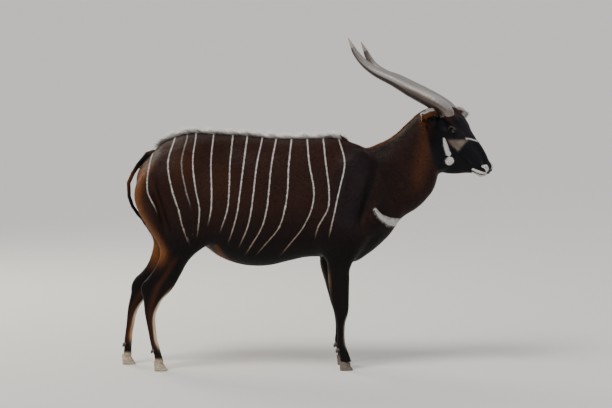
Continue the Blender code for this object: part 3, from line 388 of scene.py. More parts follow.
def head_shape(stations, fullness):
    """The skull and face through sections square to the face's axis, in the head frame."""
    top, bottom, half, wide = (smooth(stations, c) for c in (1, 2, 3, 4))
    first, last = stations[0][0], stations[-1][0]

    def shape(s, l, t):
        t0 = wide(s)
        d = section(t - t0, l, top(s) - t0, t0 - bottom(s), half(s), fullness)
        ends = np.maximum(first - s, s - last)
        return -blend_in(-d, -ends, HEAD_ROUNDING)

    return shape


def rod_chain(points, radii):
    """A round limb through several points."""

    def shape(x, y, z):
        d = None
        for a, b, ra, rb in zip(points, points[1:], radii, radii[1:]):
            e = rod(x, y, z, a, b, ra, rb)
            d = e if d is None else np.minimum(d, e)
        return d

    return shape


def unit(v):
    return Vector(v).normalized()


def ear_frame(side):
    """The matrix from an ear's own axes (along it, across it, the way it opens) to the frame."""
    along, opens = EAR_RIGHT if side < 0 else EAR_LEFT
    a = unit(along)
    c = unit(opens)
    c = (c - a * c.dot(a)).normalized()
    b = c.cross(a)
    turn = Matrix((a, b, c)).transposed().to_4x4()
    base = head_frame() @ Vector((EAR_BASE[0], side * EAR_BASE[1], EAR_BASE[2]))
    return Matrix.Translation(base) @ turn


def ear_width(u):
    """Half the ear's width at a share of its length."""
    width = EAR_HALF_WIDTH * (0.42 + 0.58 * np.sin(math.pi * np.clip(u * 1.08, 0, 1) ** 0.9))
    return width * np.sqrt(np.clip((1 - u) / 0.32, 0.0004, 1))


def ear_cup(u):
    """How deep the ear is cupped at a share of its length."""
    return EAR_CUP * np.sqrt(1 - u) * np.clip(u / 0.25, 0.4, 1)


def ear_shape(a, b, c):
    """A cupped leaf: narrow and tubular at its root, broad in the middle, bluntly pointed."""
    u = np.clip(a / EAR_LENGTH, 0.001, 0.999)
    width, cup = ear_width(u), ear_cup(u)
    v = np.clip(b / width, -1.2, 1.2)
    middle = cup * (v * v - 0.62) + 0.10 * a * u - 0.012
    slope = 2 * cup * v / width
    leaf = np.abs(c - middle) / np.sqrt(1 + slope * slope) - EAR_THICK / 2 * (1.1 - 0.4 * u)
    edge = np.maximum(np.abs(b) - width, np.abs(a - EAR_LENGTH / 2) - EAR_LENGTH / 2)
    return np.maximum(leaf, edge)


def in_frame(matrix, shape):
    """A shape given in its own axes, as one in the frame's."""
    m = np.array(matrix.inverted())

    def placed(x, y, z):
        a, b, c = (m[i, 0] * x + m[i, 1] * y + m[i, 2] * z + m[i, 3] for i in range(3))
        return shape(a, b, c)

    return placed


def reach_of(matrix, low, high):
    """The upright box round a box given in its own axes."""
    corners = [matrix @ Vector((x, y, z)) for x in (low[0], high[0]) for y in (low[1], high[1])
               for z in (low[2], high[2])]
    return tuple(tuple(f(c[i] for c in corners) for i in range(3)) for f in (min, max))


def almond(s, t):
    """About how far a point lies outside the opening between the lids."""
    lean = 0.18 * s
    high = LID_HALF_HEIGHT * (1 - (s / LID_HALF_LENGTH) ** 2)
    return (np.abs(t + lean) - high) * 0.75


def steps(*spans):
    """Grid lines over spans of (start, end, step), each span running on from the last."""
    lines = [np.linspace(start, end, round((end - start) / step), endpoint=False)
             for start, end, step in spans]
    return np.concatenate(lines)


def surface_net(flesh):
    """Points and four-cornered faces where the field crosses zero."""
    field = flesh.field
    inside = field < 0
    size = [n - 1 for n in field.shape]
    count = np.zeros(size, np.uint8)
    for corner in np.ndindex(2, 2, 2):
        count += inside[tuple(slice(c, c + n) for c, n in zip(corner, size))]
    cells = np.argwhere((count > 0) & (count < 8))
    number = np.full(size, -1, np.int32)
    number[tuple(cells.T)] = np.arange(len(cells))
    total = np.zeros((len(cells), 3))
    crossed = np.zeros(len(cells))
    for axis in range(3):
        u, v = (a for a in range(3) if a != axis)
        for i, j in np.ndindex(2, 2):
            start = np.zeros(3, int)
            start[u], start[v] = i, j
            end = start.copy()
            end[axis] = 1
            a = field[tuple((cells + start).T)]
            b = field[tuple((cells + end).T)]
            cut = (a < 0) != (b < 0)
            part = np.where(cut, a / np.where(cut, a - b, 1), 0)
            point = start + part[:, None] * (end - start)
            total[cut] += point[cut]
            crossed[cut] += 1
    points = cells + total / crossed[:, None]
    faces = []
    for axis in range(3):
        u, v = ((1, 2), (2, 0), (0, 1))[axis]
        low = [slice(None)] * 3
        high = [slice(None)] * 3
        low[axis], high[axis] = slice(0, -1), slice(1, None)
        for d in (u, v):
            low[d] = high[d] = slice(1, -1)
        a, b = inside[tuple(low)], inside[tuple(high)]
        base = np.zeros(3, int)
        base[u] = base[v] = 1
        for flip in (False, True):
            at = np.argwhere((a & ~b) if not flip else (~a & b)) + base
            back_u = np.zeros(3, int)
            back_v = np.zeros(3, int)
            back_u[u] = back_v[v] = 1
            ring = [at - back_u - back_v, at - back_v, at, at - back_u]
            quad = np.stack([number[tuple(r.T)] for r in ring], 1)
            faces.append(quad[:, ::-1] if flip else quad)
    place = [np.interp(points[:, i], np.arange(len(axis)), axis) for i, axis in enumerate(flesh.axes)]
    return np.stack(place, 1), np.concatenate(faces)


def add_object(name, data):
    thing = bpy.data.objects.new(name, data)
    bpy.context.scene.collection.objects.link(thing)
    return thing


def mesh_object(name, points, faces):
    mesh = bpy.data.meshes.new(name)
    mesh.from_pydata([tuple(p) for p in points], [], [tuple(f) for f in faces])
    mesh.update()
    return add_object(name, mesh)


# How far the skin lies inside the solids' outline, which is the coat's, by part of the body
COAT_DEPTH = 0.0040
LEG_DEPTH = 0.0028
FACE_DEPTH = 0.0014
TAIL_DEPTH = 0.0030
EAR_DEPTH = 0.0012
SKIN_TRIANGLES = 190000

# The grid that the skin is taken from, as spans of (start, end, step) along X, Y and Z
SKIN_GRID = (
    ((-1.04, -0.80, 0.004), (-0.80, 0.74, 0.0055), (0.74, 1.06, 0.0022)),
    ((-0.37, -0.23, 0.0045), (-0.23, 0.10, 0.0025), (0.10, 0.28, 0.0055)),
    ((0.028, 1.14, 0.0055), (1.14, 1.44, 0.0022), (1.44, 1.54, 0.0045)),
)


def ramp(value, start, end):
    """From 0 at start to 1 at end, eased at both."""
    t = np.clip((value - start) / (end - start), 0, 1)
    return t * t * (3 - 2 * t)


def bump(value, middle, reach):
    """1 at the middle, 0 further off than the reach."""
    return 1 - ramp(np.abs(value - middle), 0, reach)


def add_head(flesh):
    """The head's main masses, then the coat's depth off, then the fine forms of the face."""
    frame_of_head = head_frame()
    skull = head_shape(HEAD, BODY_FULLNESS)
    flesh.add(*reach_of(frame_of_head, (-0.06, -0.10, -0.24), (0.47, 0.10, 0.12)),
              in_frame(frame_of_head, skull), 0.045)

    def put(centre, radii, k, tilt=0.0, cut=False):
        turn = Matrix.Rotation(tilt, 4, "Y")

        def shape(s, l, t):
            return ball(s, np.abs(l), t, centre, radii, turn)

        size = max(radii)
        low = (centre[0] - size, -centre[1] - size, centre[2] - size)
        high = (centre[0] + size, centre[1] + size, centre[2] + size)
        work = flesh.carve if cut else flesh.add
        work(*reach_of(frame_of_head, low, high), in_frame(frame_of_head, shape), k)

    def ridge(path, radii, k, cut=False):
        """A round fold or groove along a few points, on both sides of the head."""
        chain = rod_chain(path, radii)
        places = np.array(path)
        room = max(radii)
        low = (places[:, 0].min() - room, -places[:, 1].max() - room, places[:, 2].min() - room)
        high = (places[:, 0].max() + room, places[:, 1].max() + room, places[:, 2].max() + room)
        work = flesh.carve if cut else flesh.add
        work(*reach_of(frame_of_head, low, high),
             in_frame(frame_of_head, lambda s, l, t: chain(s, np.abs(l), t)), k)

    # the brow and cheek bone round the orbit, the jaw muscle, the nose's sides and the chin
    put((0.132, 0.054, 0.054), (0.050, 0.026, 0.026), 0.030, 0.35)
    put((0.172, 0.050, -0.010), (0.075, 0.022, 0.020), 0.030, 0.20)
    put((0.165, 0.050, -0.110), (0.070, 0.028, 0.085), 0.040, -0.2)
    put((0.394, 0.024, -0.006), (0.034, 0.022, 0.020), 0.016, 0.3)
    put((0.386, 0.016, -0.047), (0.034, 0.026, 0.018), 0.014, 0.35)
    put((0.060, 0.052, 0.060), (0.062, 0.040, 0.036), 0.026, 0.2)
    # the hollows between cheek bone and mouth, before the orbit and above it
    put((0.285, 0.078, -0.055), (0.070, 0.022, 0.045), 0.030, 0.3, cut=True)
    put((0.205, 0.074, 0.040), (0.036, 0.016, 0.018), 0.020, 0.5, cut=True)
    put((0.085, 0.094, 0.030), (0.034, 0.022, 0.022), 0.022, cut=True)
    # the edge of the jaw muscle and the bone of the lower jaw
    ridge(((0.225, 0.060, -0.055), (0.245, 0.052, -0.105), (0.225, 0.040, -0.160)),
          (0.006, 0.008, 0.006), 0.016)
    ridge(((0.200, 0.072, -0.022), (0.262, 0.060, -0.034), (0.330, 0.047, -0.040)),
          (0.004, 0.005, 0.003), 0.014)

    flesh.field += coat_depth(*flesh.grid())

    def lids(s, l, t):
        p = (s - EYE_AT[0], np.abs(l) - EYE_AT[1], t - EYE_AT[2])
        return np.sqrt(p[0] ** 2 + p[1] ** 2 + p[2] ** 2) - EYE_RADIUS - LID_THICK

    def opening(s, l, t):
        d = almond(s - EYE_AT[0], t - EYE_AT[2])
        return np.maximum(d, EYE_AT[1] - np.abs(l))

    near = reach_of(frame_of_head, (0.11, -0.10, 0.0), (0.18, 0.10, 0.07))
    flesh.add(*near, in_frame(frame_of_head, lids), 0.008)
    # folds over and under the lids, and the groove of the tear duct
    eye = np.array(EYE_AT)
    ridge((eye + (-0.024, 0.010, 0.006), eye + (-0.008, 0.016, 0.0185), eye + (0.014, 0.014, 0.016),
           eye + (0.027, 0.006, 0.002)), (0.0022, 0.0030, 0.0030, 0.0018), 0.004)
    ridge((eye + (-0.020, 0.012, -0.010), eye + (0.0, 0.015, -0.0185), eye + (0.022, 0.010, -0.016)),
          (0.0016, 0.0022, 0.0016), 0.004)
    ridge((eye + (-0.020, 0.013, 0.004), eye + (-0.004, 0.021, 0.0145), eye + (0.014, 0.017, 0.011)),
          (0.0012, 0.0016, 0.0012), 0.003, cut=True)
    ridge((eye + (0.020, 0.016, -0.006), eye + (0.034, 0.010, -0.016), eye + (0.046, 0.008, -0.026)),
          (0.0026, 0.0024, 0.0012), 0.004, cut=True)
    flesh.carve(*near, in_frame(frame_of_head, opening), 0.002)

    def mouth(s, l, t):
        slot = np.maximum(np.abs(t - mouth_line(s)) - MOUTH_HALF_HEIGHT, MOUTH_CORNER - s)
        return np.maximum(slot, -(skull(s, l, t) + MOUTH_DEPTH))

    # the raised rim of the nostril, the lips' rolls and the groove under the nose
    ridge(((0.417, 0.028, -0.006), (0.404, 0.036, 0.011), (0.386, 0.040, 0.003)),
          (0.0050, 0.0055, 0.0040), 0.006)
    ridge(((0.345, 0.041, -0.060), (0.375, 0.041, -0.051), (0.405, 0.032, -0.038), (0.424, 0.012, -0.028)),
          (0.0030, 0.0050, 0.0050, 0.0040), 0.008)
    ridge(((0.350, 0.038, -0.079), (0.378, 0.036, -0.066), (0.402, 0.026, -0.055), (0.414, 0.008, -0.047)),
          (0.0025, 0.0040, 0.0045, 0.0040), 0.008)
    flesh.carve(*reach_of(frame_of_head, (0.38, -0.05, -0.03), (0.44, 0.05, 0.02)),
                in_frame(frame_of_head, lambda s, l, t: nostril_gap(s, np.abs(l), t)), 0.003)
    flesh.carve(*reach_of(frame_of_head, (0.34, -0.06, -0.10), (0.45, 0.06, -0.02)),
                in_frame(frame_of_head, mouth), 0.002)
    ridge(((0.432, 0.0, -0.004), (0.431, 0.0, -0.028)), (0.0014, 0.0014), 0.002, cut=True)

    for side in (-1, 1):
        place = ear_frame(side)
        flesh.add(*reach_of(place, (-0.03, -0.08, -0.07), (0.20, 0.08, 0.07)),
                  in_frame(place, lambda a, b, c: ear_shape(a, b, c) + EAR_DEPTH), 0.008)
        root = rod_chain(((-0.035, 0.0, 0.0), (0.030, 0.0, -0.020)), (0.028, 0.022))
        flesh.add(*reach_of(place, (-0.06, -0.04, -0.05), (0.06, 0.04, 0.04)), in_frame(place, root), 0.018)


def nostril_gap(s, side, t):
    """How far a point lies outside the nostril's channel."""
    return rod_chain(NOSTRIL, NOSTRIL_RADII)(s, side, t)


def mouth_line(s):
    """The height at which the lips meet, in the head frame."""
    return MOUTH_FRONT[1] + (s - MOUTH_FRONT[0]) * MOUTH_SLOPE


def coat_depth(x, y, z):
    """How deep the skin lies at a point: less on the legs and face."""
    low = ramp(z, 0.62, 0.30)
    front = ramp(x + 0.6 * (z - 1.2), 0.66, 0.76)
    depth = COAT_DEPTH + (LEG_DEPTH - COAT_DEPTH) * low
    return (depth + (FACE_DEPTH - depth) * front).astype(np.float32)


def add_body(flesh):
    """Torso, neck and legs, then the muscles and hollows of each side, then the tail."""
    flesh.add((-0.93, -0.25, 0.58), (0.44, 0.25, 1.30), trunk_shape(TORSO, BODY_FULLNESS), 0.05)
    flesh.add((0.12, -0.20, 0.72), (0.72, 0.16, 1.43), trunk_shape(NECK, LIMB_FULLNESS), 0.07)
    for side in (-1, 1):
        back = HIND_LEG_BACK if side > 0 else None
        flesh.add((-1.02, min(0, side * 0.23), 0.02), (-0.46, max(0, side * 0.23), 1.20),
                  leg_shape(HIND_LEG, back, side, LIMB_FULLNESS), 0.035)
        back = FORELEG_BACK if side > 0 else None
        flesh.add((0.05, min(0, side * 0.21), 0.02), (0.37, max(0, side * 0.21), 0.90),
                  leg_shape(FORELEG, back, side, LIMB_FULLNESS), 0.040)

        def bulk(centre, radii, k, tilt=0.0, cut=False, side=side):
            turn = Matrix.Rotation(tilt, 4, "Y")
            at = (centre[0], side * centre[1], centre[2])
            size = max(radii)
            low = [c - size for c in at]
            high = [c + size for c in at]
            work = flesh.carve if cut else flesh.add
            work(low, high, lambda x, y, z: ball(x, y, z, at, radii, turn), k)

        # shoulder blade, point of the shoulder, upper arm, hip, haunch and stifle
        bulk((0.235, 0.112, 1.010), (0.105, 0.074, 0.210), 0.06, 0.28)
        bulk((0.330, 0.105, 0.860), (0.075, 0.066, 0.090), 0.06, -0.3)
        bulk((0.165, 0.128, 0.760), (0.120, 0.062, 0.075), 0.06, 0.25)
        bulk((-0.590, 0.105, 1.195), (0.110, 0.080, 0.060), 0.08, 0.1)
        bulk((-0.700, 0.115, 0.980), (0.185, 0.098, 0.200), 0.06, 0.2)
        bulk((-0.560, 0.132, 0.790), (0.075, 0.058, 0.090), 0.06, 0.35)
        # hollows: behind the shoulder, along the blade's spine, the flank, the thigh and the shank
        bulk((0.075, 0.240, 0.960), (0.040, 0.030, 0.200), 0.05, 0.22, True)
        bulk((0.200, 0.205, 1.060), (0.016, 0.018, 0.130), 0.03, 0.30, True)
        bulk((0.360, 0.178, 1.010), (0.022, 0.022, 0.180), 0.04, 0.34, True)
        bulk((-0.455, 0.235, 1.060), (0.070, 0.030, 0.100), 0.06, 0.0, True)
        bulk((-0.800, 0.200, 0.900), (0.016, 0.018, 0.160), 0.03, -0.30, True)
        if side < 0:
            bulk((-0.845, 0.166, 0.500), (0.010, 0.012, 0.080), 0.02, 0.38, True)

    tail = rod_chain([row[:3] for row in TAIL], [row[3] - TAIL_DEPTH + COAT_DEPTH for row in TAIL])
    flesh.add((-1.0, -0.03, 0.67), (-0.82, 0.03, 1.21), tail, 0.006)


def skin_object():
    """One seamless skin over all the flesh, finer round the head and the tail."""
    grid = [steps(*spans) for spans in SKIN_GRID]
    flesh = Flesh(*grid)
    add_body(flesh)
    add_head(flesh)
    points, faces = largest_piece(*surface_net(flesh))
    thing = mesh_object("skin", points, faces)
    fewer = thing.modifiers.new("Fewer", "DECIMATE")
    fewer.ratio = min(1.0, SKIN_TRIANGLES / (2 * len(faces)))
    settle(thing)
    smooth_shade(thing)
    return thing


def largest_piece(points, faces):
    """Only the biggest connected piece of a mesh."""
    label = np.arange(len(points))
    edges = np.concatenate([faces[:, (0, 1)], faces[:, (1, 2)], faces[:, (2, 3)], faces[:, (3, 0)]])
    while True:
        low = np.minimum(label[edges[:, 0]], label[edges[:, 1]])
        new = label.copy()
        np.minimum.at(new, edges[:, 0], low)
        np.minimum.at(new, edges[:, 1], low)
        new = new[new]
        if (new == label).all():
            break
        label = new
    values, counts = np.unique(label, return_counts=True)
    keep = label == values[counts.argmax()]
    number = np.cumsum(keep) - 1
    return points[keep], number[faces[keep[faces[:, 0]]]]


# The white stripes, from the rump to the shoulder: x at each of STRIPE_HEIGHTS, lower end, strength
STRIPE_HEIGHTS = (1.28, 1.15, 1.00, 0.90, 0.80, 0.70)
STRIPES = (
    (-0.800, -0.900, -0.927, -0.910, -0.890, -0.870, 1.000, 0.35),
    (-0.810, -0.859, -0.871, -0.826, -0.800, -0.775, 0.870, 0.90),
    (-0.722, -0.758, -0.733, -0.700, -0.676, -0.637, 0.700, 1.00),
    (-0.656, -0.684, -0.659, -0.631, -0.625, -0.618, 0.900, 0.40),
    (-0.610, -0.624, -0.607, -0.588, -0.596, -0.607, 0.745, 1.00),
    (-0.514, -0.525, -0.522, -0.525, -0.545, -0.560, 0.810, 1.00),
    (-0.407, -0.421, -0.426, -0.435, -0.467, -0.500, 0.770, 1.00),
    (-0.330, -0.347, -0.366, -0.380, -0.404, -0.437, 0.710, 1.00),
    (-0.245, -0.275, -0.293, -0.306, -0.328, -0.369, 0.685, 1.00),
    (-0.169, -0.196, -0.211, -0.223, -0.251, -0.308, 0.640, 1.00),
    (-0.086, -0.103, -0.110, -0.126, -0.158, -0.237, 0.640, 1.00),
    (-0.004, 0.009, 0.034, 0.021, -0.026, -0.103, 0.635, 1.00),
    (0.084, 0.098, 0.116, 0.110, 0.056, 0.033, 0.735, 0.95),
    (0.166, 0.201, 0.171, 0.149, 0.127, 0.105, 0.740, 0.95),
)

STRIPE_GAP = 0.08               # the distance for one count, past the first and the last stripe
STRIPE_PAST = 0.45              # how far the count goes past them

# White marks of the face, in the head frame, and of the chest, in the animal's: cheek spots, the bar
# across the nose, the crescent; then the pale patch under the eye and the fold before the thigh
CHEEK_UPPER = ((0.133, -0.029), (0.204, -0.076), 0.0125)
CHEEK_LOWER = ((0.233, -0.105), (0.020, 0.026))
NOSE_BAR = (0.263, 0.221, 0.050, 0.0055)   # s at the middle, s at the side, side, half width
CRESCENT = ((0.366, 0.898, 0.006), (0.396, 0.856, 0.012), (0.446, 0.822, 0.021), (0.500, 0.806, 0.027))
CHEEK_PATCH = ((0.151, -0.019), (0.236, -0.040), (0.236, 0.054))
FLANK_FOLD = ((-0.500, 0.690, 0.004), (-0.470, 0.640, 0.006), (-0.430, 0.600, 0.004))
MARKED, UNMARKED = 0.01, -0.02  # distances inside and outside a white mark, in metres

# Coat colours
CHOCOLATE = np.array((0.0300, 0.0110, 0.0070))
BLACK = np.array((0.0040, 0.0026, 0.0028))
RUSSET = np.array((0.0760, 0.0240, 0.0085))
ORANGE = np.array((0.300, 0.105, 0.026))
# painted sheen: a bluish reflection colour, laid on the shoulder blade and the face's upper side
SHEEN_BLUE_GREY = np.array((0.0135, 0.0090, 0.0115))
FACE_BLACK = np.array((0.0040, 0.0042, 0.0062))
TAN = np.array((0.210, 0.140, 0.085))
CREAM = np.array((0.560, 0.450, 0.320))
PINK_GREY = np.array((0.160, 0.062, 0.026))
GREY_TAN = np.array((0.190, 0.150, 0.118))


def polyline_distance(u, v, points):
    """How far a point lies from a line through (u, v, half width) points, less the half width."""
    best = None
    for (au, av, aw), (bu, bv, bw) in zip(points, points[1:]):
        du, dv = bu - au, bv - av
        t = np.clip(((u - au) * du + (v - av) * dv) / (du * du + dv * dv), 0, 1)
        d = np.hypot(u - au - t * du, v - av - t * dv) - (aw + (bw - aw) * t)
        best = d if best is None else np.minimum(best, d)
    return best


def inside_polygon(u, v, corners):
    """How far a point lies inside a convex polygon, given round to the left."""
    depth = None
    for (au, av), (bu, bv) in zip(corners, corners[1:] + corners[:1]):
        length = math.hypot(bu - au, bv - av)
        d = ((bu - au) * (v - av) - (bv - av) * (u - au)) / length
        depth = d if depth is None else np.minimum(depth, d)
    return depth


def in_axes(matrix, points):
    """Points of the animal's frame in a matrix's own axes."""
    m = np.array(matrix.inverted())
    return points @ m[:3, :3].T + m[:3, 3]


def ear_skin(hand, points, start):
    """Which points lie on an ear's skin, further out along it than start."""
    ea, eb, ec = in_axes(ear_frame(hand), points).T
    near = (np.abs(eb) < EAR_ROOM_ACROSS) & (np.abs(ec) < EAR_ROOM_OPEN)
    return near & (ea > start) & (np.abs(ear_shape(ea, eb, ec)) < EAR_NEAR)


def leg_edges(stations, back, y, z):
    """Where a leg's front and rear edges lie at each point's height, the left leg's set back."""
    stride = np.where(y > 0, smooth(back, 1)(z), 0)
    return smooth(stations, 1)(z) + stride, smooth(stations, 2)(z) + stride


def past_throat(points):
    """How far points lie on the head's side of the throat."""
    x, y, z = ((points[:, i] - THROAT_AT[i]) * THROAT_WAY[i] for i in range(3))
    return x + y + z


def tail_lengths(points):
    """For each length of the tail: its direction, how far along it points lie, and how far off it."""
    path = np.array([row[:3] for row in TAIL])
    for p, q in zip(path, path[1:]):
        d = q - p
        along = ((points - p) @ d) / (d @ d)
        gap = np.linalg.norm(points - p - np.clip(along, 0, 1)[:, None] * d, axis=1)
        yield d, along, gap


def stripe_fields(x, z):
    """A smooth count that is whole on each stripe, the distance for one count, and the strength."""
    heights = np.array(STRIPE_HEIGHTS[::-1])
    table = np.array([row[5::-1] for row in STRIPES])
    level = np.interp(z, heights, np.arange(len(heights)))
    low = np.clip(np.floor(level).astype(int), 0, len(heights) - 2)
    part = level - low
    slope = np.gradient(table, axis=1)
    t2, t3 = part ** 2, part ** 3
    at = []
    for k in range(len(STRIPES)):
        at.append((2 * t3 - 3 * t2 + 1) * table[k, low] + (t3 - 2 * t2 + part) * slope[k, low]
                  + (3 * t2 - 2 * t3) * table[k, low + 1] + (t3 - t2) * slope[k, low + 1])
    at = np.array(at)
    # below the lowest row each stripe keeps the slope that it has there
    lean = (table[:, 1] - table[:, 0]) / (heights[1] - heights[0])
    at += lean[:, None] * np.minimum(z - heights[0], 0)
    count = np.full(len(x), -1.0)
    gap = np.full(len(x), STRIPE_GAP)
    for k in range(len(STRIPES) - 1):
        width = at[k + 1] - at[k]
        between = (x >= at[k]) & (x < at[k + 1])
        count = np.where(between, k + (x - at[k]) / width, count)
        gap = np.where(between, width, gap)
    count = np.where(x < at[0], np.maximum((x - at[0]) / STRIPE_GAP, -STRIPE_PAST), count)
    past = np.minimum((x - at[-1]) / STRIPE_GAP, STRIPE_PAST)
    count = np.where(x >= at[-1], len(STRIPES) - 1 + past, count)
    nearest = np.clip(np.round(count), 0, len(STRIPES) - 1).astype(int)
    ends = np.array([row[6] for row in STRIPES])[nearest]
    strength = np.array([row[7] for row in STRIPES])[nearest]
    fade = ramp(z, ends - 0.01, ends + 0.09)
    return count, gap, strength * fade


def mix(base, colour, weight):
    """Rows of one colour, with another mixed in by weight."""
    return base + (colour - base) * weight[:, None]


def coat_fields(points):
    """What the coat's material reads at each point of the skin, in the animal's own frame."""
    x, y, z = points.T
    side = np.sign(y)
    head = in_axes(head_frame(), points)
    s, l, t = head.T
    a = np.abs(l)
    on_head = ramp(past_throat(points), -0.004, 0.012)
    off_body = ramp(z, 0.66, 0.60) * (1 - on_head)

    colour = np.tile(CHOCOLATE, (len(points), 1))
    colour = mix(colour, BLACK, ramp(z, 0.98, 0.66) * 0.95)
    colour = mix(colour, RUSSET, 0.55 * bump(x, -0.680, 0.14) * bump(z, 1.13, 0.16))
    colour = mix(colour, RUSSET, 0.25 * bump(x, -0.480, 0.16) * bump(z, 1.05, 0.22))
    # painted sheen: blue-grey over the shoulder blade
    blade = np.hypot((x - 0.250 - 0.20 * (z - 1.0)) / 0.115, (z - 1.02) / 0.26)
    colour = mix(colour, SHEEN_BLUE_GREY, 0.85 * ramp(blade, 1.2, 0.6))
    colour = mix(colour, BLACK, 0.70 * bump(x - 0.35 * (z - 1.0), 0.330, 0.055) * ramp(z, 0.80, 0.90))
    band = x - 0.16 * (z - 1.1)
    colour = mix(colour, BLACK, 0.35 * ramp(x, 0.34, 0.42) * (1 - on_head))
    colour = mix(colour, RUSSET, 0.68 * bump(band, 0.612, 0.070) * ramp(z, 0.94, 1.08) * (1 - on_head))
    colour = mix(colour, BLACK, 0.60 * bump(band, 0.440, 0.09) * ramp(z, 1.24, 1.05))
    nape = ramp(np.abs(y + 0.02), 0.030, 0.008) * ramp(x, 0.34, 0.44) * ramp(z, 1.16, 1.21)
    colour = mix(colour, ORANGE, 0.75 * nape * (1 - on_head))

    front, rear = leg_edges(HIND_LEG, HIND_LEG_BACK, y, z)
    hind = ramp(x, -0.44, -0.50)
    # rim: painted backlight, an orange glow along the buttock's rear edge, mixed in over the chestnut thigh
    rim = ramp(x - rear, 0.060, 0.006) * ramp(z, 0.56, 0.66) * ramp(z, 1.18, 1.06) * hind
    thigh = 0.8 * ramp(x - rear, 0.085, 0.02) * ramp(z, 0.52, 0.62) * hind * ramp(z, 1.1, 1.0)
    colour = mix(colour, RUSSET, thigh)
    colour = mix(colour, ORANGE * 0.9, 0.85 * rim)
    colour = mix(colour, ORANGE, 0.35 * ramp(polyline_distance(x, z, FLANK_FOLD), 0.016, 0.0))
    inner_thigh = ramp(side * y, 0.105, 0.075) * ramp(z, 0.50, 0.60) * ramp(z, 0.90, 0.75) * hind
    colour = mix(colour, ORANGE, 0.45 * inner_thigh)

    # legs: near-black, russet where the light catches the shank, pale in front of the hind one
    colour = mix(colour, RUSSET * 0.8, 0.6 * hind * off_body * bump(x - (front + rear) / 2, 0.0, 0.030))
    across = np.abs(side * y - 0.120)
    line = ramp(x - front, -0.022, -0.010) * ramp(across, 0.030, 0.016) * hind
    line = line * ramp(z, 0.455, 0.415) * ramp(z, 0.085, 0.130)
    colour = mix(colour, CREAM * 1.4, 0.95 * line)
    # painted sunlight: a tan patch on the front of the hind hock
    lit_hock = ramp(x - front, -0.030, -0.006) * bump(z, 0.440, 0.042) * hind
    colour = mix(colour, TAN, 0.75 * lit_hock)
    colour = mix(colour, ORANGE, 0.6 * hind * bump(z, 0.180, 0.10) * bump(x - front, -0.012, 0.02) * (y > 0))
    colour = mix(colour, CREAM, 0.85 * hind * ramp(z, 0.078, 0.060))
    fore = ramp(x, 0.02, 0.06)
    arm = fore * off_body
    fore_front, fore_rear = leg_edges(FORELEG, FORELEG_BACK, y, z)
    inside = ramp(side * y, 0.105, 0.080)
    elbow = 0.75 * fore * inside * bump(z, 0.600, 0.060) * bump(x, 0.222, 0.050)
    colour = mix(colour, CREAM, elbow)
    knee = arm * bump(z, 0.500, 0.09) * ramp(x - fore_rear, 0.024, 0.004)
    colour = mix(colour, TAN, 0.65 * knee)
    shin = arm * ramp(z, 0.33, 0.28) * ramp(z, 0.09, 0.13) * ramp(x - fore_front, -0.014, -0.003)
    colour = mix(colour, CREAM, 0.55 * shin)
    colour = mix(colour, BLACK, 0.8 * ramp(z, 0.150, 0.110) * ramp(z, 0.060, 0.080))

    # tail: dark below, warm along its upper edge
    tail_gap = np.full(len(points), 1.0)
    for _, _, gap in tail_lengths(points):
        tail_gap = np.minimum(tail_gap, gap)
    on_tail = ramp(tail_gap, 0.022, 0.017) * ramp(x, -0.860, -0.885)
    hanging = ramp(tail_gap, 0.020, 0.016) * ramp(z, 0.86, 0.82) * (np.abs(y) < 0.03)
    colour = mix(colour, BLACK, np.maximum(on_tail, hanging))
    colour = mix(colour, ORANGE * 0.7, 0.6 * on_tail * ramp(x, -0.93, -0.97) * ramp(z, 0.9, 1.1))

    # face
    face = np.tile(FACE_BLACK, (len(points), 1))
    face = mix(face, RUSSET * 0.6, 0.8 * ramp(s, 0.10, 0.0) * ramp(t, 0.02, -0.05))
    face = mix(face, RUSSET * 0.55, 0.7 * ramp(t, 0.050, 0.075) * ramp(s, 0.135, 0.06))
    # painted sheen: blue-grey on the upper side of the face
    face = mix(face, SHEEN_BLUE_GREY * 1.3, 0.7 * ramp(t, 0.030, 0.060) * bump(s, 0.20, 0.09))
    patch = ramp(inside_polygon(s, t, CHEEK_PATCH), -0.006, 0.010) * ramp(a, 0.030, 0.045)
    face = mix(face, GREY_TAN, 0.85 * patch)
    face = mix(face, RUSSET * 1.3, 0.70 * patch * ramp(s - 0.5 * t, 0.185, 0.160))
    eye = (s - EYE_AT[0], t - EYE_AT[2])
    arc = np.abs(np.hypot(eye[0] / 0.026, eye[1] / 0.0195) - 1) * 0.02
    above = z - (head_frame() @ Vector(EYE_AT)).z
    arc = ramp(arc, 0.0035, 0.0012) * ramp(above, 0.006, 0.013) * ramp(a, 0.03, 0.045)
    face = mix(face, TAN, 0.75 * arc)
    wet = ramp(np.hypot(eye[0] / 0.0225, eye[1] / 0.0135), 1.25, 1.0) * ramp(a, 0.03, 0.05)
    face = mix(face, BLACK * 0.5, wet)
    lip = np.abs(t - mouth_line(s))
    hole = nostril_gap(s, a, t)
    nose_tip = ramp(s, 0.414, 0.424) * ramp(a, 0.024, 0.016) * ramp(t, -0.034, -0.028)
    bare = np.maximum(ramp(hole, 0.0045, 0.0015), nose_tip)
    bare = np.maximum(bare, ramp(lip, 0.0035, 0.0015) * ramp(s, 0.343, 0.350))
    bare = np.maximum(bare, wet)
    colour = colour * (1 - on_head[:, None]) + face * on_head[:, None]

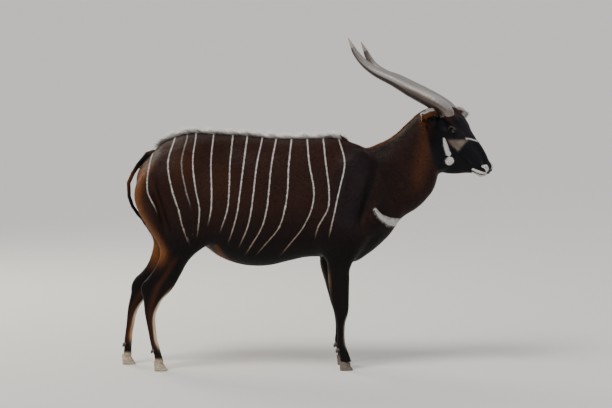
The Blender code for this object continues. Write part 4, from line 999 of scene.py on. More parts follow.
    # white: positive inside a mark, in metres
    (s0, t0), (s1, t1), wide = CHEEK_UPPER
    middle = (s0 * 0.5 + s1 * 0.5, t0 * 0.5 + t1 * 0.5, wide)
    white = -polyline_distance(s, t, ((s0, t0, wide * 0.55), middle, (s1, t1, wide)))
    (s0, t0), (rs, rt) = CHEEK_LOWER
    white = np.maximum(white, (1 - np.hypot((s - s0) / rs, (t - t0) / rt)) * rs)
    white = np.where(a > 0.030, white, UNMARKED)
    s_mid, s_side, reach, half = NOSE_BAR
    bar = half * (1 - 0.4 * a / reach) - np.abs(s - s_mid - (s_side - s_mid) * (a / reach) ** 1.3) * 0.85
    white = np.maximum(white, np.minimum(bar, np.minimum(reach - a, t - 0.01)))
    rim = 0.0034 - np.abs(hole - 0.0050)
    white = np.maximum(white, np.where(s > 0.378, rim, UNMARKED))
    upper_lip = np.minimum(0.0095 - np.abs(t - mouth_line(s) - 0.0105), s - 0.352)
    white = np.maximum(white, upper_lip)
    chin = np.minimum(np.minimum(mouth_line(s) - t - 0.004, s - 0.360), 0.02)
    white = np.maximum(white, chin)
    white = np.where(on_head > 0.5, white, UNMARKED)
    crescent = -polyline_distance(x, z, CRESCENT)
    white = np.maximum(white, np.where((x > 0.34) & (on_head < 0.5), crescent, UNMARKED))

    # ears: orange-brown outside, white hair inside and round the tip; inside, the near ear's orange is
    # painted backlight glowing through it, the far ear pinkish grey, with painted shade at the cup's root and
    # a painted shadow of the ear canal
    for hand in (-1, 1):
        ea, eb, ec = in_axes(ear_frame(hand), points).T
        shell = ear_shape(ea, eb, ec) + EAR_DEPTH
        on_ear = ramp(ea, 0.030, 0.045) * (np.abs(shell) < EAR_NEAR)
        on_ear = on_ear * (np.abs(eb) < EAR_ROOM_ACROSS) * (np.abs(ec) < EAR_ROOM_OPEN)
        u_ear = np.clip(ea / EAR_LENGTH, 0, 1)
        width, cup = ear_width(u_ear), ear_cup(u_ear)
        leaf = cup * ((eb / width) ** 2 - 0.62) + 0.10 * ea * u_ear - 0.012
        inside_ear = ramp(ec - leaf, -0.0005, 0.0010)
        front_edge = hand * eb
        outer = np.tile(ORANGE * (0.62, 0.66, 0.8), (len(points), 1))
        outer = mix(outer, BLACK * 1.5, 0.7 * ramp(front_edge / width, -0.82, -0.97) * ramp(u_ear, 0.9, 0.7))
        streak = 0.5 + 0.5 * np.sin(eb * 520 + 2.2 * np.sin(ea * 70))
        # near ear: orange inside as painted backlight glowing through the ear; far ear: its own pinkish grey
        inner = np.tile(ORANGE * (0.60, 0.62, 0.75) if hand < 0 else PINK_GREY, (len(points), 1))
        inner = mix(inner, RUSSET * 0.5, 0.55 * ramp(streak, 0.45, 0.95))
        # painted shade deep in the cup, at the ear's root
        inner = mix(inner, BLACK * 1.5, 0.92 * ramp(u_ear, 0.24, 0.12))
        # painted shadow of the ear canal, low in the cup
        canal_shadow = np.hypot((ea - 0.062) / 0.018, (eb - 0.018) / 0.013)
        inner = mix(inner, BLACK * 1.5, 0.85 * ramp(canal_shadow, 1.2, 0.6))
        ear = mix(outer, inner, inside_ear)
        colour = mix(colour, ear, on_ear)
        edge = np.minimum(front_edge - width * 0.72, 0.006)
        edge = np.where((hand > 0) | (u_ear > 0.55), edge, UNMARKED)
        tip_pale = (u_ear - 0.80) * 0.05
        pale = np.where(inside_ear > 0.5, np.maximum(edge, tip_pale), (u_ear - 0.95) * 0.05)
        white = np.where(on_ear > 0.5, pale, white)

    count, gap, power = stripe_fields(x, z)
    power = power * (1 - ramp(tail_gap, 0.030, 0.020)) * (1 - on_head) * ramp(x, 0.32, 0.26)
    power = power * np.where(count < 0.5, ramp(np.abs(y), 0.075, 0.125), 1.0)
    return {"coat": colour, "stripe": count, "stripe_gap": gap, "stripe_power": power,
            "white": np.clip(white, UNMARKED, -UNMARKED), "bare": bare * on_head}


def store(mesh, fields, extra=()):
    """Keep point fields on a mesh, for its material to read."""
    for name, values in list(fields.items()) + list(extra):
        if np.ndim(values) == 2:
            layer = mesh.attributes.new(name, "FLOAT_COLOR", "POINT")
            packed = np.concatenate([values, np.ones((len(values), 1))], 1)
            layer.data.foreach_set("color", packed.astype(np.float32).ravel())
        else:
            layer = mesh.attributes.new(name, "FLOAT", "POINT")
            layer.data.foreach_set("value", np.asarray(values, np.float32))


def smooth_shade(thing):
    thing.data.polygons.foreach_set("use_smooth", [True] * len(thing.data.polygons))


def settle(thing):
    """Replace an object's mesh by what its modifiers make of it."""
    bpy.context.view_layer.update()
    graph = bpy.context.evaluated_depsgraph_get()
    mesh = bpy.data.meshes.new_from_object(thing.evaluated_get(graph))
    thing.modifiers.clear()
    thing.data = mesh


def fast_mesh(name, points, faces, corners):
    """A mesh object from arrays, all faces with the same number of corners."""
    mesh = bpy.data.meshes.new(name)
    mesh.vertices.add(len(points))
    mesh.vertices.foreach_set("co", np.asarray(points, np.float32).ravel())
    mesh.loops.add(len(faces) * corners)
    mesh.loops.foreach_set("vertex_index", np.asarray(faces, np.int32).ravel())
    mesh.polygons.add(len(faces))
    mesh.polygons.foreach_set("loop_start", np.arange(0, len(faces) * corners, corners, dtype=np.int32))
    mesh.update(calc_edges=True)
    thing = add_object(name, mesh)
    smooth_shade(thing)
    return thing


# Coat: tufts that follow the lie of the hair, each a closed spike with its root under the skin
STRIPE_FOLLOW = 0.8             # how far a tuft's tip takes the colour of where it lies
BODY_TUFTS = 150000
BODY_PIECES = 4
FACE_TUFTS = 48000
EAR_TUFTS = 26000
FRINGE_TUFTS = 5000
CREST_TUFTS = 5200
TAIL_TUFTS = 1800
LIE_SPREAD = 0.14               # how far tufts turn from the lie of the hair, in radians
BAKE_PATCH = 0.003              # each tuft's size on the bake map


def lie_of(points):
    """The way the hair lies at each point, before it is laid along the skin."""
    x, _, z = points.T
    head = np.array(head_frame().to_3x3())
    lie = np.stack([np.full_like(x, -0.92), np.zeros_like(x), -0.25 - 0.5 * ramp(z, 1.15, 0.80)], 1)
    low = ramp(z, 0.78, 0.58)[:, None]
    lie = lie * (1 - low) + np.array((-0.15, 0, -1.0)) * low
    belly = (ramp(z, 0.72, 0.62) * ramp(x, -0.46, -0.40) * ramp(x, 0.05, -0.02))[:, None]
    lie = lie * (1 - belly) + np.array((-1.0, 0, -0.1)) * belly
    neck = ramp(x, 0.36, 0.46)[:, None]
    lie = lie * (1 - neck) + np.array((-0.62, 0.02, -0.78)) * neck
    s, l, t = in_axes(head_frame(), points).T
    on_head = ramp(past_throat(points), -0.03, 0.03)[:, None]
    back = np.stack([np.full_like(s, -1.0), np.sign(l) * 0.25, -0.55 * ramp(t, 0.06, -0.04)], 1) @ head.T
    lie = lie * (1 - on_head) + back * on_head
    for hand in (-1, 1):
        lie[ear_skin(hand, points, 0.02)] = np.array(ear_frame(hand).to_3x3())[:, 0]
    for d, along, gap in tail_lengths(points):
        near = (gap < 0.018) & (along > -0.1) & (along < 1.1) & (x < -0.79)
        lie[near] = d / np.linalg.norm(d)
    return lie


def unit_rows(v):
    return v / np.maximum(np.linalg.norm(v, axis=1), 1e-9)[:, None]


def read_rows(items, key, width, kind):
    """One row of values for each item of a mesh."""
    values = np.zeros(len(items) * width, kind)
    items.foreach_get(key, values)
    return values.reshape(-1, width)


class Skin:
    """The skin's triangles, ready to be sampled for roots."""

    def __init__(self, thing):
        mesh = thing.data
        mesh.calc_loop_triangles()
        self.points = read_rows(mesh.vertices, "co", 3, np.float32).astype(float)
        self.normals = read_rows(mesh.vertex_normals, "vector", 3, np.float32).astype(float)
        self.faces = read_rows(mesh.loop_triangles, "vertices", 3, np.int32)
        self.loops = read_rows(mesh.loop_triangles, "loops", 3, np.int32)
        a, b, c = (self.points[self.faces[:, i]] for i in range(3))
        self.area = np.linalg.norm(np.cross(b - a, c - a), axis=1) / 2
        self.middle = (a + b + c) / 3
        self.uv = None

    def roots(self, count, density, rng):
        """Evenly spread places: points, normals and the bake map's place, by weight of density."""
        weight = self.area * density(self.middle)
        total = np.cumsum(weight)
        pick = (np.arange(count) + rng.random(count)) / count * total[-1]
        face = np.minimum(np.searchsorted(total, pick), len(total) - 1)
        u, v = rng.random(count), rng.random(count)
        flip = u + v > 1
        u[flip], v[flip] = 1 - u[flip], 1 - v[flip]
        w = np.stack([1 - u - v, u, v], 1)
        corner = self.faces[face]
        points = sum(self.points[corner[:, i]] * w[:, i:i + 1] for i in range(3))
        normals = unit_rows(sum(self.normals[corner[:, i]] * w[:, i:i + 1] for i in range(3)))
        uv = sum(self.uv[self.loops[face][:, i]] * w[:, i:i + 1] for i in range(3))
        return points, normals, uv


def tufts(name, roots, normals, uv, lie, length, width, thick, rise, bend, rings, sunk, rng, fields=None,
          striped=False):
    """One joined mesh of flat tapered tufts, each with rings of three points and a tip.

    Lengths in metres; rise and bend in radians; sunk is how far the root lies under the skin."""
    count = len(roots)
    along = unit_rows(lie - normals * (lie * normals).sum(1)[:, None])
    across = np.cross(normals, along)
    turn = rng.normal(0, LIE_SPREAD, count)[:, None]
    along = unit_rows(along + across * turn)
    across = np.cross(normals, along)
    size = rng.uniform(0.75, 1.25, count)
    length, width = length * size, width * rng.uniform(0.8, 1.2, count)
    rise = rise * rng.uniform(0.6, 1.4, count)
    at = roots - normals * sunk
    layers = []
    shares = np.linspace(0, 1, rings + 1)
    for k, share in enumerate(shares):
        angle = rise + bend * (1 - share)
        ahead = along * np.cos(angle)[:, None] + normals * np.sin(angle)[:, None]
        if k:
            at = at + ahead * (length * (share - shares[k - 1]))[:, None]
        up = np.cross(ahead, across)
        if k == rings:
            layers.append(at[:, None, :])
            break
        taper = (1.0 - 0.55 * share ** 1.5) * (0.85 if k == 0 else 1.0)
        half = (width * taper / 2)[:, None]
        layers.append(np.stack([at - across * half, at + across * half, at - up * (thick * taper)], 1))
    block = np.concatenate(layers, 1)
    per = block.shape[1]
    faces = []
    for k in range(rings - 1):
        for i in range(3):
            j = (i + 1) % 3
            a, b, c, d = 3 * k + i, 3 * k + j, 3 * k + 3 + j, 3 * k + 3 + i
            faces += [(a, b, c), (a, c, d)]
    top = 3 * (rings - 1)
    faces += [(top + i, top + (i + 1) % 3, per - 1) for i in range(3)]
    faces += [(2, 1, 0)]
    faces = (np.arange(count)[:, None, None] * per + np.array(faces)[None]).reshape(-1, 3)
    thing = fast_mesh(name, block.reshape(-1, 3), faces, 3)
    if fields is None:
        fields = coat_fields(roots)
    spread = {key: np.repeat(value, per, axis=0) for key, value in fields.items()}
    if striped:
        at = np.repeat(roots, per, axis=0)
        at += (block.reshape(-1, 3) - at) * STRIPE_FOLLOW
        spread["stripe"], spread["stripe_gap"] = stripe_fields(at[:, 0], at[:, 2])[:2]
    shade = rng.random(count)
    shade = spread.pop("shade", np.repeat(shade, per))
    tip = np.concatenate([np.full(3, s) for s in shares[:-1]] + [np.ones(1)])
    store(thing.data, spread, (("shade", shade), ("tip", np.tile(tip, count))))
    patch = np.zeros((per, 2))
    patch[:, 0] = np.concatenate([np.tile((0.0, 1.0, 0.5), rings), [0.5]]) - 0.5
    patch[:, 1] = tip - 0.5
    place = (uv[:, None, :] + patch[None] * BAKE_PATCH).reshape(-1, 2)
    layer = thing.data.uv_layers.new(name="OFBake")
    loops = read_rows(thing.data.loops, "vertex_index", 1, np.int32)[:, 0]
    layer.data.foreach_set("uv", place[loops].astype(np.float32).ravel())
    return thing


def unwrap(thing):
    """A bake map from the skin's own shape."""
    bpy.context.view_layer.objects.active = thing
    thing.select_set(True)
    bpy.ops.object.mode_set(mode="EDIT")
    bpy.ops.mesh.select_all(action="SELECT")
    bpy.ops.uv.smart_project(angle_limit=math.radians(66), island_margin=0.001)
    bpy.ops.object.mode_set(mode="OBJECT")
    thing.select_set(False)
    layer = thing.data.uv_layers.active
    layer.name = "OFBake"
    return read_rows(layer.data, "uv", 2, np.float32).astype(float)


def head_weight(points):
    """1 on the head, 0 on the neck, eased across the throat."""
    return ramp(past_throat(points), -0.010, 0.010)


def ear_weight(points):
    """1 on either ear, 0 elsewhere."""
    weight = np.zeros(len(points))
    for hand in (-1, 1):
        weight = np.maximum(weight, ear_skin(hand, points, 0.025) * 1.0)
    return weight


def bare_places(points):
    """Where no hair grows: eyes, nostrils, lips' edge, and under the horns."""
    s, l, t = in_axes(head_frame(), points).T
    a = np.abs(l)
    eye = np.hypot((s - EYE_AT[0]) / 0.024, (t - EYE_AT[2]) / 0.015) < 1
    hole = nostril_gap(s, a, t) < 0.002
    lip = (np.abs(t - mouth_line(s)) < 0.003) & (s > 0.345)
    nose = (s > 0.416) & (a < 0.020) & (t > -0.032)
    return ((eye & (a > 0.03)) | hole | lip | nose) & (head_weight(points) > 0.5)


def grow_coat(skin, rng):
    """All the hair: four interleaved pieces for the body, then face, ears, fringe, crest and tail."""
    pieces = []

    def body(points):
        weight = (1 - head_weight(points)) * (1 - ear_weight(points))
        z = points[:, 2]
        return weight * (1 + 0.6 * ramp(z, 0.7, 0.5)) * (z > 0.052)

    fewer = 1
    count = BODY_TUFTS // fewer
    roots, normals, uv = skin.roots(count, body, rng)
    z = roots[:, 2]
    legs = ramp(z, 0.66, 0.50)
    length = 0.017 - 0.007 * legs
    width = 0.0030 - 0.0010 * legs
    lie = lie_of(roots)
    own_count = len(roots) // BODY_PIECES + 1
    order = rng.permutation(len(roots))
    for k in range(BODY_PIECES):
        own = order[k * own_count:(k + 1) * own_count]
        pieces.append(tufts("coat_%d" % (k + 1), roots[own], normals[own], uv[own], lie[own], length[own],
                            width[own], 0.0006, 0.11, 0.0, 1, 0.0006, rng, striped=True))

    def face(points):
        return head_weight(points) * (1 - bare_places(points)) * (1 - ear_weight(points))

    count = FACE_TUFTS // fewer
    roots, normals, uv = skin.roots(count, face, rng)
    s = in_axes(head_frame(), roots)[:, 0]
    length = 0.0085 - 0.0035 * ramp(s, 0.2, 0.38)
    pieces.append(tufts("coat_face", roots, normals, uv, lie_of(roots), length, 0.0013, 0.0003, 0.07, 0.0, 1,
                        0.0003, rng))

    count = EAR_TUFTS // 1
    roots, normals, uv = skin.roots(count, ear_weight, rng)
    pieces.append(tufts("coat_ears", roots, normals, uv, lie_of(roots), np.full(count, 0.0095), 0.0015,
                        0.0003, 0.08, 0.0, 1, 0.0003, rng))
    pieces.append(ear_fringe(skin, rng))
    pieces.append(crest(skin, rng))
    pieces.append(tail_tuft(skin, rng))
    return pieces


def ear_fringe(skin, rng):
    """Longer hair along each ear's edges, growing out and across the cup."""
    def edges(points):
        weight = np.zeros(len(points))
        for hand in (-1, 1):
            ea, eb, _ = in_axes(ear_frame(hand), points).T
            near = np.abs(eb) / ear_width(np.clip(ea / EAR_LENGTH, 0, 1))
            weight = np.maximum(weight, ear_weight(points) * ramp(near, 0.70, 0.90) * (ea > 0.03))
        return weight

    count = FRINGE_TUFTS
    roots, normals, uv = skin.roots(count, edges, rng)
    lie = lie_of(roots)
    for hand in (-1, 1):
        turn = ear_frame(hand)
        ea, eb, ec = in_axes(turn, roots).T
        own = (ea > 0.0) & (ea < 0.21) & (np.abs(eb) < 0.08) & (np.abs(ec) < 0.09)
        m = np.array(turn.to_3x3())
        lie[own] = (m[:, 0] * 0.8 + m[:, 2] * 0.35) - m[:, 1] * (np.sign(eb[own]) * 0.55)[:, None]
    fields = coat_fields(roots)
    # the near ear is white at its tip and along the outer half of its upper edge; the far ear all round
    near_ear = in_axes(ear_frame(-1), roots)
    lower = ((near_ear[:, 1] > 0.015) | (near_ear[:, 0] < 0.095)) & (roots[:, 1] < 0)
    white = rng.random(count) > np.where(lower, 0.92, 0.06)
    fields["white"] = np.where(white, MARKED, UNMARKED)
    fields["shade"] = np.where(white, 0.9, 0.4)
    size = np.where(lower, 0.008, 0.016)
    return tufts("ear_fringe", roots, normals, uv, lie, size, 0.0016, 0.0004, 0.22, 0.15, 2, 0.0008, rng,
                 fields)


def crest(skin, rng):
    """Bristles along the back, white from the rump to the withers, then a short orange-brown mane."""
    def ridge(points):
        x, y, z = points.T
        top = smooth(TORSO, 1)(x)
        back = ramp(np.abs(y), 0.016, 0.006) * (z > top - 0.03) * ramp(x, -0.83, -0.80) * ramp(x, 0.24, 0.20)
        nape = ramp(np.abs(y + 0.02), 0.024, 0.008) * (z > 1.17) * ramp(x, 0.24, 0.30) * ramp(x, 0.66, 0.62)
        return back + 0.45 * nape * (z > smooth(NECK, 1)(x) - 0.03)

    count = CREST_TUFTS
    roots, normals, uv = skin.roots(count, ridge, rng)
    x = roots[:, 0]
    fields = coat_fields(roots)
    clump = np.sin(x * 95.0) * 0.5 + np.sin(x * 41.0 + 1.3) * 0.5
    stripes, gap = stripe_fields(x, roots[:, 2])[:2]
    near = ramp(np.abs(stripes - np.round(stripes)) * gap, 0.030, 0.012)
    near = near * ramp(x, -0.84, -0.82) * ramp(x, 0.24, 0.22)
    solid = ramp(x, -0.275, -0.235) * ramp(x, 0.110, 0.080)
    # white bristles, their share along the whole back and their brightness raised as painted backlight on the
    # top edge
    white = rng.random(count) < 0.48 + 0.50 * np.maximum(near, solid)
    white &= x < 0.19
    fields["white"] = np.where(white, MARKED, UNMARKED)
    fields["shade"] = np.where(white, rng.uniform(0.85, 1.15, count), rng.random(count))
    # warm tufts: the mane's own orange-brown, and on the back partly painted backlight glowing along the top
    # edge
    warm = rng.random(count) < np.where(x > 0.30, 0.85, 0.30 + 0.5 * bump(x, -0.40, 0.12))
    fields["coat"] = np.where(warm[:, None], ORANGE * 0.6, fields["coat"])
    lie = np.tile((-1.0, 0.0, -0.05), (count, 1)) + rng.normal(0, 0.10, (count, 3))
    lie[:, 2] += 0.30 * ramp(x, 0.30, 0.36)
    size = np.where(x < 0.24, 0.038 + 0.008 * clump + 0.010 * near, 0.024)
    rise = np.where(x < 0.24, 0.45 + 0.20 * near, 0.16)
    return tufts("crest", roots, normals, uv, lie, size, 0.0024, 0.0006, rise, 0.35, 3, 0.0015, rng, fields)


def tail_tuft(skin, rng):
    """Long black hair round the tail's end."""
    def end(points):
        gap = np.full(len(points), 1.0)
        for row in TAIL[-4:]:
            gap = np.minimum(gap, np.linalg.norm(points - np.array(row[:3]), axis=1))
        return ramp(gap, 0.040, 0.020) * (points[:, 0] < -0.78)

    count = TAIL_TUFTS
    roots, normals, uv = skin.roots(count, end, rng)
    fields = coat_fields(roots)
    fields["coat"] = np.tile(BLACK, (count, 1))
    fields["white"] = np.full(count, UNMARKED)
    return tufts("tail_tuft", roots, normals, uv, lie_of(roots), np.full(count, 0.058), 0.0022, 0.0006,
                 0.10, 0.12, 3, 0.0008, rng, fields)


# Materials

class Nodes:
    """Short ways to add shader nodes to a material."""

    def __init__(self, name):
        self.material = bpy.data.materials.new(name)
        self.material.use_nodes = True
        self.tree = self.material.node_tree
        self.shader = self.tree.nodes["Principled BSDF"]

    def node(self, kind, **settings):
        made = self.tree.nodes.new(kind)
        for key, value in settings.items():
            setattr(made, key, value)
        return made

    def link(self, source, target):
        self.tree.links.new(source, target)

    def attribute(self, name, output="Fac"):
        return self.node("ShaderNodeAttribute", attribute_name=name).outputs[output]

    def place(self):
        return self.node("ShaderNodeTexCoord").outputs["Object"]

    def put(self, socket, value):
        if isinstance(value, (int, float)):
            socket.default_value = value
        elif isinstance(value, (tuple, list, np.ndarray)):
            short = len(value) == 3 and len(socket.default_value) == 4
            socket.default_value = (*value, 1) if short else value
        else:
            self.link(value, socket)

    def math(self, operation, a, b=0.0, clamp=False):
        made = self.node("ShaderNodeMath", operation=operation, use_clamp=clamp)
        self.put(made.inputs[0], a)
        self.put(made.inputs[1], b)
        return made.outputs[0]

    def range(self, value, low, high, to_low=0.0, to_high=1.0):
        made = self.node("ShaderNodeMapRange", interpolation_type="SMOOTHSTEP")
        for socket, number in zip(made.inputs[:5], (value, low, high, to_low, to_high)):
            self.put(socket, number)
        return made.outputs[0]

    def mix(self, weight, a, b, blend="MIX"):
        made = self.node("ShaderNodeMix", data_type="RGBA", blend_type=blend)
        self.put(made.inputs[0], weight)
        self.put(made.inputs[6], a)
        self.put(made.inputs[7], b)
        return made.outputs[2]

    def noise(self, scale, detail=3.0, stretch=(1, 1, 1), rough=0.5):
        mapping = self.node("ShaderNodeMapping")
        mapping.inputs["Scale"].default_value = stretch
        self.link(self.place(), mapping.inputs["Vector"])
        made = self.node("ShaderNodeTexNoise")
        self.link(mapping.outputs[0], made.inputs["Vector"])
        made.inputs["Scale"].default_value = scale
        made.inputs["Detail"].default_value = detail
        made.inputs["Roughness"].default_value = rough
        return made.outputs["Fac"]

    def bump(self, height, strength, distance):
        made = self.node("ShaderNodeBump")
        made.inputs["Strength"].default_value = strength
        made.inputs["Distance"].default_value = distance
        self.put(made.inputs["Height"], height)
        self.link(made.outputs[0], self.shader.inputs["Normal"])

    def set(self, **values):
        for key, value in values.items():
            self.put(self.shader.inputs[key.replace("_", " ")], value)


STRIPE_HALF = 0.0036
WHITE = (0.60, 0.585, 0.56)
WHITE_LOW = (0.34, 0.25, 0.17)


def coat_material(name, tuft):
    """Hair and skin in the fields' colours; a tuft is shaded along its length, the skin is bumped."""
    n = Nodes(name)
    place = n.place()
    split = n.node("ShaderNodeSeparateXYZ")
    n.link(place, split.inputs[0])
    wander = n.noise(60, 3.0)
    fine = n.noise(420, 2.0, (0.35, 1, 1))
    # stripes: how far the point is from the nearest whole count
    count = n.attribute("stripe")
    off = n.math("ABSOLUTE", n.math("SUBTRACT", count, n.math("ROUND", count)))
    off = n.math("MULTIPLY", off, n.attribute("stripe_gap"))
    off = n.math("ADD", off, n.math("MULTIPLY", n.math("SUBTRACT", wander, 0.5), 0.0045))
    stripe = n.range(off, STRIPE_HALF + 0.0014, STRIPE_HALF - 0.0014)
    stripe = n.math("MULTIPLY", stripe, n.attribute("stripe_power"))
    edge = n.math("ADD", n.attribute("white"),
                  n.math("MULTIPLY", n.math("SUBTRACT", fine, 0.5), 0.0030))
    mark = n.range(edge, -0.0010, 0.0014)
    white = n.math("MAXIMUM", stripe, mark, True)
    # the white turns tan lower on the body: partly the hair's own tone, partly painted shade
    low = n.range(split.outputs[2], 0.98, 0.70)
    pale = n.mix(low, WHITE, WHITE_LOW)
    pale = n.mix(mark, pale, WHITE)
    pale = n.mix(n.math("MULTIPLY", n.range(wander, 0.35, 0.75), 0.35), pale, (0.40, 0.34, 0.28))
    base = n.attribute("coat", "Color")
    broad = n.noise(7, 4.0)
    patches = n.range(broad, 0.35, 0.70, 0.0, 0.45)
    base = n.mix(patches, base, n.mix(1.0, base, (0.55, 0.52, 0.55), "MULTIPLY"))
    colour = n.mix(white, base, pale)
    if tuft:
        light = n.range(n.attribute("shade"), 0.0, 1.0, 0.62, 1.45)
        tip = n.range(n.attribute("tip"), 0.0, 1.0, 0.75, 1.25)
        light = n.math("MULTIPLY", light, tip)
    else:
        light = n.range(fine, 0.2, 0.8, 0.55, 1.15)
    shaded = n.node("ShaderNodeCombineColor")
    for i in range(3):
        n.link(light, shaded.inputs[i])
    colour = n.mix(1.0, colour, shaded.outputs[0], "MULTIPLY")
    bare = n.attribute("bare")
    colour = n.mix(bare, colour, (0.0060, 0.0052, 0.0056))
    n.set(Base_Color=colour, Roughness=n.range(bare, 0.0, 1.0, 0.50, 0.22), Specular_IOR_Level=0.10,
          Sheen_Weight=0.015, Sheen_Roughness=0.45, Sheen_Tint=(0.60, 0.62, 0.75))
    if not tuft:
        pores = n.node("ShaderNodeTexVoronoi")
        n.link(place, pores.inputs["Vector"])
        pores.inputs["Scale"].default_value = 520
        height = n.mix(bare, fine, pores.outputs["Distance"])
        n.bump(height, 0.35, 0.0012)
    return n.material


def horn_material():
    n = Nodes("horn_keratin")
    along = n.attribute("along")
    ridge = n.attribute("ridge")
    under = n.attribute("under")
    fibre = n.noise(90, 5.0, (1, 1, 1), 0.65)
    streak = n.attribute("streak")
    colour = n.mix(n.range(streak, 0.25, 0.75), (0.068, 0.046, 0.034), (0.140, 0.114, 0.096))
    colour = n.mix(n.range(fibre, 0.35, 0.75, 0.0, 0.6), colour, (0.045, 0.028, 0.020))
    colour = n.mix(n.math("MULTIPLY", n.range(ridge, 0.25, 0.9), 0.70), colour, (0.30, 0.283, 0.270))
    # painted sunlight: light grey where the horn faces up
    colour = n.mix(n.math("MULTIPLY", n.range(under, 0.32, 0.04), 0.55), colour, (0.30, 0.29, 0.285))
    # painted shade: dark brown where the horn faces down
    colour = n.mix(n.math("MULTIPLY", n.range(under, 0.42, 0.66), 0.94), colour, (0.014, 0.0062, 0.0038))
    root = n.range(along, 0.17, 0.05, 0.0, 0.75)
    colour = n.mix(root, colour, n.mix(fibre, (0.13, 0.095, 0.065), (0.32, 0.25, 0.18)))
    colour = n.mix(n.range(along, 0.88, 0.99, 0.0, 0.7), colour, (0.36, 0.28, 0.20))
    n.set(Base_Color=colour, Roughness=n.range(fibre, 0.3, 0.8, 0.30, 0.52), Specular_IOR_Level=0.5)
    height = n.math("ADD", n.math("MULTIPLY", streak, 0.7), n.math("MULTIPLY", fibre, 0.5))
    n.bump(height, 0.45, 0.0016)
    return n.material


def eye_material():
    n = Nodes("eye_wet")
    iris = n.attribute("iris")
    pupil = n.attribute("pupil")
    rays = n.noise(900, 2.0)
    brown = n.mix(n.range(rays, 0.3, 0.7), (0.012, 0.0055, 0.0035), (0.026, 0.012, 0.006))
    colour = n.mix(n.range(iris, 0.9, 1.05), brown, (0.022, 0.016, 0.014))
    colour = n.mix(n.range(pupil, 1.08, 0.95), colour, (0.004, 0.004, 0.006))
    n.set(Base_Color=colour, Roughness=0.12, Coat_Weight=0.5, Coat_Roughness=0.03, IOR=1.40)
    n.bump(rays, 0.05, 0.0004)
    return n.material


def claw_material():
    n = Nodes("claw_keratin")
    split = n.node("ShaderNodeSeparateXYZ")
    n.link(n.place(), split.inputs[0])
    rings = n.noise(160, 3.0, (0.25, 0.25, 2.2))
    blotch = n.noise(38, 4.0)
    colour = n.mix(n.range(blotch, 0.35, 0.70), (0.54, 0.46, 0.34), (0.30, 0.23, 0.16))
    colour = n.mix(n.range(rings, 0.4, 0.7, 0.0, 0.55), colour, (0.12, 0.085, 0.060))
    front = n.range(split.outputs[0], -0.30, -0.20)
    colour = n.mix(n.math("MULTIPLY", front, 0.82), colour, (0.055, 0.042, 0.034))
    colour = n.mix(n.range(split.outputs[2], 0.070, 0.084, 0.0, 0.9), colour, (0.030, 0.022, 0.018))
    colour = n.mix(n.range(split.outputs[2], 0.012, 0.0, 0.0, 0.6), colour, (0.07, 0.055, 0.045))
    n.set(Base_Color=colour, Roughness=n.range(blotch, 0.3, 0.7, 0.42, 0.62), Specular_IOR_Level=0.4)
    n.bump(rings, 0.4, 0.0010)
    return n.material


def floor_material():
    n = Nodes("pale_floor")
    grain = n.noise(240, 2.0)
    n.set(Base_Color=n.mix(grain, (0.70, 0.69, 0.67), (0.74, 0.73, 0.71)), Roughness=0.75)
    return n.material


# Horns, eyes, hooves

def tube_faces(levels, sides):
    """Four-cornered faces between rings of points."""
    k = np.arange(sides)
    j = (k + 1) % sides
    faces = []
    for low in range(0, (levels - 1) * sides, sides):
        high = low + sides
        faces += np.stack([low + k, low + j, high + j, high + k], 1).tolist()
    return faces


def horn(side):
    """A smooth horn with a twisted keel, growth folds near its root and fine lengthwise streaks."""
    sides = HORN_SIDES
    place = head_frame()
    table = HORN_RIGHT if side < 0 else HORN_LEFT
    rows = [(i, *(place @ Vector((s, side * l, t))), r) for i, (s, l, t, r) in enumerate(table)]
    curves = [smooth(rows, c) for c in (1, 2, 3, 4)]
    count = (len(rows) - 1) * HORN_STEPS + 1
    at = np.linspace(0, len(rows) - 1, count)
    points = np.stack([c(at) for c in curves[:3]], 1)
    radius = np.maximum(curves[3](at), 0.0012)
    ahead = unit_rows(np.gradient(points, axis=0))
    normal = np.array((0.0, 0.0, 1.0))
    rings, ridges, shade_below, alongs, streaks = [], [], [], [], []
    for i in range(count):
        normal = normal - ahead[i] * (normal @ ahead[i])
        normal = normal / np.linalg.norm(normal)
        across = np.cross(ahead[i], normal)
        part = i / (count - 1)
        angle = np.linspace(0, math.tau, sides, endpoint=False)
        keel = angle - side * (HORN_LEAN + HORN_TWIST * part)
        second = keel + math.pi * 0.95
        crest_line = np.maximum(0, np.cos(keel)) ** 6
        back_line = np.maximum(0, np.cos(second)) ** 5
        groove = np.maximum(0, np.cos(keel - 0.55)) ** 24
        shape = 0.955 + HORN_KEEL * (crest_line + 0.5 * back_line) * (1 - part) ** 0.3
        shape = shape - 0.030 * groove * (1 - part)
        folds = 0.020 * np.sin(part * 210 + 0.9 * np.sin(angle * 2)) * max(0.0, 1 - part / 0.42) ** 1.3
        fibres = 0.004 * np.sin(angle * 23 + 3 * np.sin(part * 9)) * (1 - part)
        r = radius[i] * (shape + folds + fibres)
        ring = points[i] + (np.cos(angle)[:, None] * normal + np.sin(angle)[:, None] * across) * r[:, None]
        rings.append(ring)
        up = np.cos(angle) * normal[2] + np.sin(angle) * across[2]
        ridges.append(np.clip(crest_line + 0.5 * back_line, 0, 1))
        # how far the surface faces down: drives the painted shade under the horn and the painted sunlight on
        # its top
        shade_below.append(np.clip(0.5 - up * 0.75, 0, 1) * (part < 0.90))
        alongs.append(np.full(sides, part))
        streaks.append(0.5 + 0.5 * np.sin(angle * 17 + 5 * np.sin(part * 7 + side)) * np.sin(angle * 5 + 2.0))
    points = np.concatenate(rings + [np.array([rings[-1].mean(0)])])
    tip = len(points) - 1
    last = tip - sides
    cap = [(last + k, last + (k + 1) % sides, tip) for k in range(sides)]
    name = "horn_shell_right" if side < 0 else "horn_shell_left"
    thing = mesh_object(name, points, tube_faces(count, sides) + cap + [tuple(range(sides))[::-1]])
    smooth_shade(thing)
    for key, values in (("ridge", ridges), ("under", shade_below), ("along", alongs), ("streak", streaks)):
        store(thing.data, {key: np.append(np.concatenate(values), values[-1][0])})
    return thing


